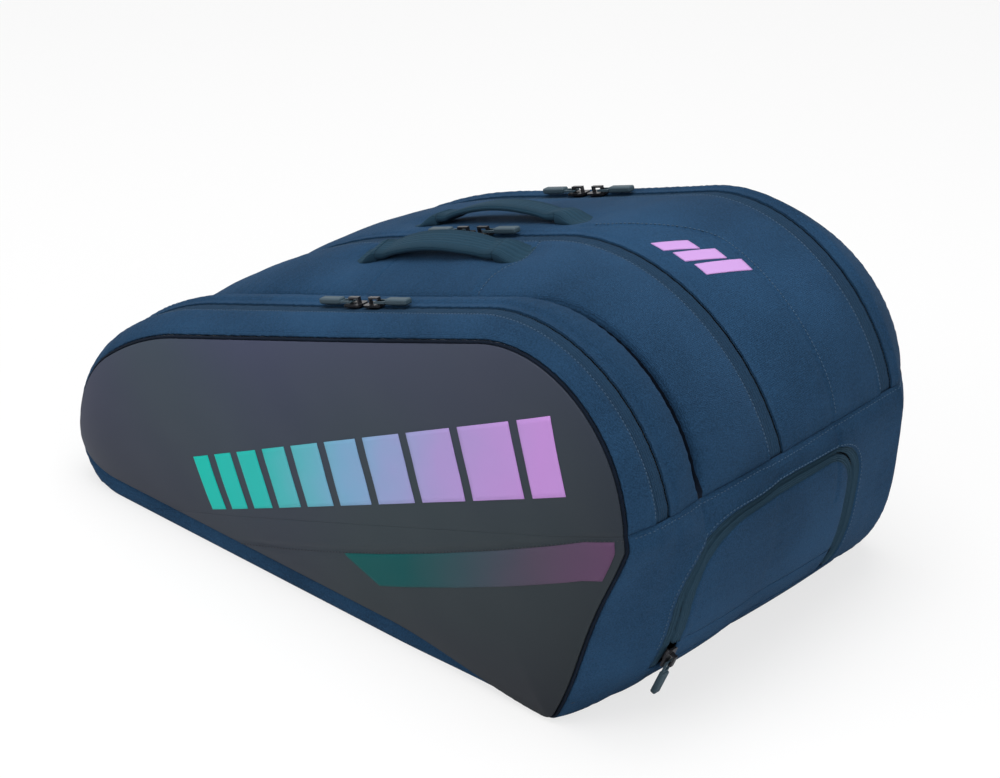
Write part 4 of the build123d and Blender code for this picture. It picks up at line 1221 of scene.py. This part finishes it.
def handle_ends(label, body):
    """Both sewn-down ends, each a flat taper and the pin that the band turns on."""
    f, groups, uvs = np.linspace(0, 1, 30), [], []
    top = 0.0012 + 0.0092 * (1 - smooth(f * 1.1))
    width = 0.0104 + 0.0014 * smooth(f * 2) - 0.0025 * smooth((f - 0.85) / 0.15)
    for end in (-1, 1):
        for x, height, half_width, half_height, sides, power, across in (
                (HALF_SPAN + 0.0005 + 0.0255 * f, top / 2 + 0.0002, width, top / 2, 28, 0.42, 0.011),
                (np.linspace(0.067, 0.0545, 8), PIN_HEIGHT, 0.0024, 0.0024, 12, 1.0, 0.002)):
            path, side = handle_place(label, end * x, height)
            points, faces = tube(path, side * end, half_width, half_height, sides, power)
            groups.append((points, faces))
            uvs.append(band_uv(points, across).reshape(-1, 2))
    make(f"handle_ends_{label}", *join(*groups), body, "handle_webbing", [slate],
         [f"handle_anchors_{label}"], np.concatenate(uvs), weld=True)


for label, sewn_to in (("front", "front_section"), ("rear", "bag_tub")):
    handle(label)
    handle_ends(label, sewn_to)
print("handles")

# %% [markdown]
# ## Prints
# The front carries two prints in a colour that runs from sea green to lilac: a row of slanted
# bars and a band under the seam. A print is a film: a thin closed sheet that follows the padded
# face just above it, with its colour worked out from the distance along the bag.

# %% Prints
FILM = 0.00035


def shaded(name, start, stop, *colours):
    """Colours in order from x = start to x = stop."""
    made, tree, shader = material(name, Roughness=0.55, Specular_IOR_Level=0.12)
    axes = node(tree, "SeparateXYZ", [(0, node(tree, "TexCoord").outputs["Object"])])
    shift = node(tree, "Math", [(0, noise(tree, 30.0, 2.0)), (2, axes.outputs["X"])],
                 operation="MULTIPLY_ADD")
    shift.inputs[1].default_value = (stop - start) * 0.10
    along = node(tree, "MapRange", [("Value", shift.outputs[0])], From_Min=start, From_Max=stop)
    ramp = node(tree, "ValToRGB", [(0, along.outputs[0])])
    stops = ramp.color_ramp.elements
    stops[0].color, stops[1].color = colours[0] + (1,), colours[-1] + (1,)
    for k, colour in enumerate(colours[1:-1], 1):
        stops.new(k / (len(colours) - 1)).color = colour + (1,)
    tree.links.new(ramp.outputs[0], shader.inputs["Base Color"])
    roughen(tree, shader, noise(tree, 1400.0, 2.0), 0.1, 0.0002)
    return made


bar_film = shaded("bar_film", -0.14, 0.22, (0.0, 0.50, 0.40), (0.02, 0.46, 0.42), (0.19, 0.38, 0.58),
                  (0.40, 0.30, 0.62), (0.52, 0.27, 0.66))
band_film = shaded("band_film", 0.03, 0.275, (0.0, 0.082, 0.080), (0.001, 0.072, 0.076),
                   (0.030, 0.064, 0.082), (0.075, 0.056, 0.092), (0.105, 0.052, 0.112))
lilac_film = shaded("lilac_film", 0.10, 0.24, (0.50, 0.28, 0.62), (0.58, 0.34, 0.70))


def film(x, z):
    """Closed sheet over the front face through a grid of x, z."""
    y = face_depth(x, z, -1)
    return wall(*(np.stack([x, y + out, z], -1)[:, ::-1] for out in (-FILM, 0.0002)))[:2]


def films(name, sheets, body, finish):
    """Several sheets as one piece."""
    make(name, *join(*sheets), body, "navy_cloth" if finish is lilac_film else "coated_panel", [finish])


def bars():
    """Slanted bars between two rising lines, from narrow ones to wide ones. ends gives their
    pitches, before the row is stretched to its length."""
    ends = np.cumsum([0, 17, 18, 20, 22, 25, 28, 31, 35, 39, 26]) / 1000
    up, sheets = np.linspace(0, 1, 16), []
    for start, stop in zip(ends[:-1], ends[1:]):
        along = np.linspace(start, stop - 0.0055, 14)[:, None]
        height = 0.038 + 0.014 * along / ends[-1]
        sheets.append(film(-0.122 + 1.36 * along - 0.019 * up, 0.036 + 0.563 * along + height * up))
    films("bar_print", sheets, "front_lid", bar_film)


def band_print():
    """Band hung from the seam, cut at a slant at its start and by the piping at its end."""
    down, f = np.linspace(0, 1, 14), np.linspace(0, 1, 70)[:, None]
    edge = full_rim[-1][full_rim[-1][:, 0] > 0.1]
    edge = edge[np.argsort(edge[:, 1])]
    stop = 0.272 + 0 * down
    for _ in range(6):
        stop = np.interp(cross_seam(stop) - 0.030 * down, edge[:, 1], edge[:, 0]) - 0.0065
    x = (0.0195 + 0.036 * down) * (1 - f) + stop * f
    z = cross_seam(x) - 0.0022 - (0.0255 + 0.004 * (x - 0.02) / 0.25) * down
    films("band_print", [film(x, z)], "bag_tub", band_film)


def emblem():
    """Three slanted lilac bars on the cloth behind the second zip."""
    across, up, sheets = np.linspace(0, 1, 12)[:, None], np.linspace(0, 1, 16), []
    for number in range(3):
        s = 0.820 - 0.0125 * number - 0.0085 * across - 0.009 * up
        y = 0.007 + 0.0030 * number + (0.022 + 0.006 * number) * up + 0 * across
        sheets.append(wall(skin(s, y, 0.0006)[::-1], skin(s, y, -0.0003)[::-1])[:2])
    films("lilac_print", sheets, "bag_tub", lilac_film)


bars()
band_print()
emblem()
print("prints")

# %% [markdown]
# ## Stitches
# Every seam is held by thread. A stitch is a small box, narrower on its outside. A row is one
# array of places with a direction along the seam and one out of the cloth.

# %% Stitches
FINE = (0.00095, 0.00035, 0.00030)     # half sizes of a stitch


def stitch_row(points, out, pitch, size):
    """Boxes of half sizes size, spaced pitch apart along a path, standing on its surface."""
    step = np.linalg.norm(np.diff(points, axis=0), axis=-1)
    along = np.concatenate([[0], np.cumsum(step)])
    places = np.arange(pitch, along[-1] - pitch, pitch)
    at = np.stack([np.interp(places, along, points[:, k]) for k in range(3)], -1)
    up = unit(np.stack([np.interp(places, along, out[:, k]) for k in range(3)], -1))
    at[:, 2] = np.maximum(at[:, 2], size[2])
    ahead = unit(np.gradient(at, axis=0))
    return loops_along(at, ahead, np.cross(up, ahead), up, size)


def seam(name, s, y, pitch, body, out=0.0002):
    """Row of stitches along places on the skin."""
    row = stitch_row(skin(s, y, out), skin_normal(s, y), pitch, FINE)
    make(name, *row, body, "navy_cloth", [thread])


for number, body in ((1, "front_lid"), (2, "front_section"), (3, "bag_tub")):
    y = zip_y[number - 1] - COVER_EDGE - 0.0016
    seam(f"zip_{number}_stitches", round_bag(y, True, 500, 0.003), y, 0.0031, body)
x = np.linspace(SEAM_START[0] + 0.004, SEAM_STOP[0] - 0.001, 300)
z = cross_seam(x) - 0.0016
on_face = np.stack([x, face_depth(x, z, -1) - 0.0001, z], -1)
make("front_seam_stitches", *stitch_row(on_face, np.tile(-DEEP, (300, 1)), 0.0036, FINE),
     "bag_tub", "coated_panel", [dark_thread])
y = np.linspace(front_y + 0.006, rear_y - 0.006, 300)
seam("wide_end_stitches", fold_cuts(y)[0] - 0.0035, y, 0.0034, "bag_tub")
y = np.linspace(crease_y + 0.005, zip_y[1] - COVER_EDGE - 0.001, 120)
seam("patch_stitches", right_patch_s(y) - 0.0028, y, 0.0031, "front_section")
s = np.linspace(fold_cuts(0.052)[0] + 0.004, 0.862, 300)
seam("rear_seam_stitches", s, rear_seam_y(s) + 0.0028, 0.0031, "bag_tub")
y, z, _ = door_path(TAPE + 0.0006, DOOR_Z[1] - 0.004, 300)
seam("door_frame_stitches", s_at_z(z), y, 0.0034, "bag_tub", 0.0010)

# %% [markdown]
# ## Shoulder straps
# The straps lie in the recess under the bag. A strap is a pad with mesh cloth, pulled in by
# cross seams, a bound edge, and a loop of webbing that turns on a sewn roll.

# %% Straps
def level_path(x, y, z):
    """Points from x, y and z, any of which may be one number."""
    return np.stack(np.broadcast_arrays(x, y, z), -1)


def strap(label):
    """Pad with cross seams, its bound edge, and the webbing loop on its roll."""
    low, high = (np.array(v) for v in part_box(f"strap_pad_{label}"))
    swing = next(j for j in frame["joints"] if j["name"] == f"strap_{label}_swing")
    hinge_x, middle_y, hinge_z = swing["pos_m"]
    start, stop, half, thick = hinge_x + 0.0046, high[0], (high[1] - low[1]) / 2, high[2] - low[2]
    corner, centre = 0.018, high[2] - thick / 2
    u, v = np.linspace(0, 1, 90)[:, None], np.linspace(-1, 1, 40)
    x = start + (stop - start) * (u * 0.5 + smooth(u) * 0.5)
    near_end = np.clip(1 - np.minimum(x - start, stop - x) / corner, 0, 1)
    width = half - corner * (1 - np.sqrt(1 - near_end ** 2))
    y = middle_y + width * np.sin(v * math.pi / 2)
    x = x + 0 * y
    edge = np.minimum(np.minimum(x - start, stop - x), width - np.abs(y - middle_y))
    seams = sum(np.exp(-((x - start - k * (stop - start) / 5) / 0.0022) ** 2) for k in range(1, 5))
    crown = smooth(edge / 0.010 + 0.15) ** 0.6 * (1 - 0.38 * seams * smooth(edge / 0.008))
    half_thick = 0.0012 + (thick / 2 - 0.0012) * np.clip(crown, 0, 1)
    points, faces, _ = wall(*(np.stack([x, y, centre + side * half_thick], -1) for side in (1, -1)))
    make(f"strap_cushion_{label}", points, faces, f"strap_{label}", "strap_mesh", [mesh_cloth],
         [f"strap_pad_{label}"], wall_uv(x, y), weld=True, fill=0.6)
    binding = level_path(np.append(x[:, 0], x[::-1, 0]), np.append(y[:, 0], y[::-1, -1]), centre)
    binding = binding[np.linalg.norm(np.diff(binding, axis=0, append=binding[:1]), axis=-1) > 2e-4]
    outward = unit(np.cross([0.0, 0.0, 1.0], np.roll(binding, -1, 0) - np.roll(binding, 1, 0)))
    points, faces = tube(binding, outward, 0.0016, 0.0017, sides=8, closed=True)
    k, last = np.arange(8), (len(binding) - 1) * 8
    ring = np.stack([last + k, last + (k + 1) % 8, (k + 1) % 8, k], -1)
    turn = np.linspace(0, 2 * math.pi, 40)
    loop, neck = (tube(level_path(x, middle_y, z), DEEP, 0.0123, 0.0008, sides=12, power=0.4) for x, z in (
        (hinge_x + 0.0026 * np.cos(turn), hinge_z + 0.0026 * np.sin(turn)),
        (np.linspace(hinge_x + 0.0030, start + 0.006, 10), hinge_z)))
    points, faces = join((points, np.concatenate([faces, ring])), loop, neck)
    make(f"strap_binding_{label}", points, faces, f"strap_{label}", "strap_webbing", [webbing],
         uv=points[:, :2], weld=True)


def strap_ribbon(label):
    """Webbing through the buckle, and the open hook at its end."""
    low, high = (np.array(v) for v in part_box(f"strap_webbing_{label}"))
    hook_x, middle_y, z = high[0] - 0.020, (low[1] + high[1]) / 2, 0.0033
    path = level_path(np.linspace(low[0], hook_x + 0.002, 80), middle_y, z)
    points, faces = tube(path, DEEP, 0.0124, 0.0007, sides=16, power=0.4)
    make(f"strap_ribbon_{label}", points, faces, f"webbing_{label}", "strap_webbing", [webbing],
         [f"strap_webbing_{label}"], band_uv(points, 0.0125))
    corners = np.array([(-0.001, -13.5), (0.020, -13.5), (0.020, 13.5), (0.016, 13.5), (0.016, -9.5),
                        (0.007, -9.5), (0.007, 13.5), (-0.001, 13.5)]) * [1, 0.001]
    bottom = np.concatenate([corners + [hook_x, middle_y], np.full((8, 1), z - 0.0019)], 1)
    name = f"strap_hook_{label}"
    mesh = bpy.data.meshes.new(name)
    mesh.from_pydata(np.concatenate([bottom, bottom + [0, 0, 0.0048]]).tolist(), [],
                     [list(range(7, -1, -1)), list(range(8, 16))]
                     + [[k, (k + 1) % 8, (k + 1) % 8 + 8, k + 8] for k in range(8)])
    mesh.materials.append(plastic)
    hook = bpy.data.objects.new(name, mesh)
    bpy.context.collection.objects.link(hook)
    soften = hook.modifiers.new("rounded", "BEVEL")
    soften.width, soften.segments = 0.0009, 3
    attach(hook, f"webbing_{label}")


for label in ("front", "rear"):
    strap(label)
    strap_ribbon(label)
print("straps")

# %% [markdown]
# ## Hard parts
# Sliders, pull tabs, buckles, rings and the stiff board are right as the model has them, so they
# stay and only get their finishes.

# %% Finishes for the parts that stay
finishes = {"slider": gunmetal, "puller": rubber, "buckle": plastic, "rolls": plastic, "rings": plastic,
            "board": board}
for name, made in nodes.items():
    if not made.hide_render:
        made.data.materials.clear()
        made.data.materials.append(next(finish for part, finish in finishes.items() if part in name))

# %% End
bpy.context.view_layer.update()
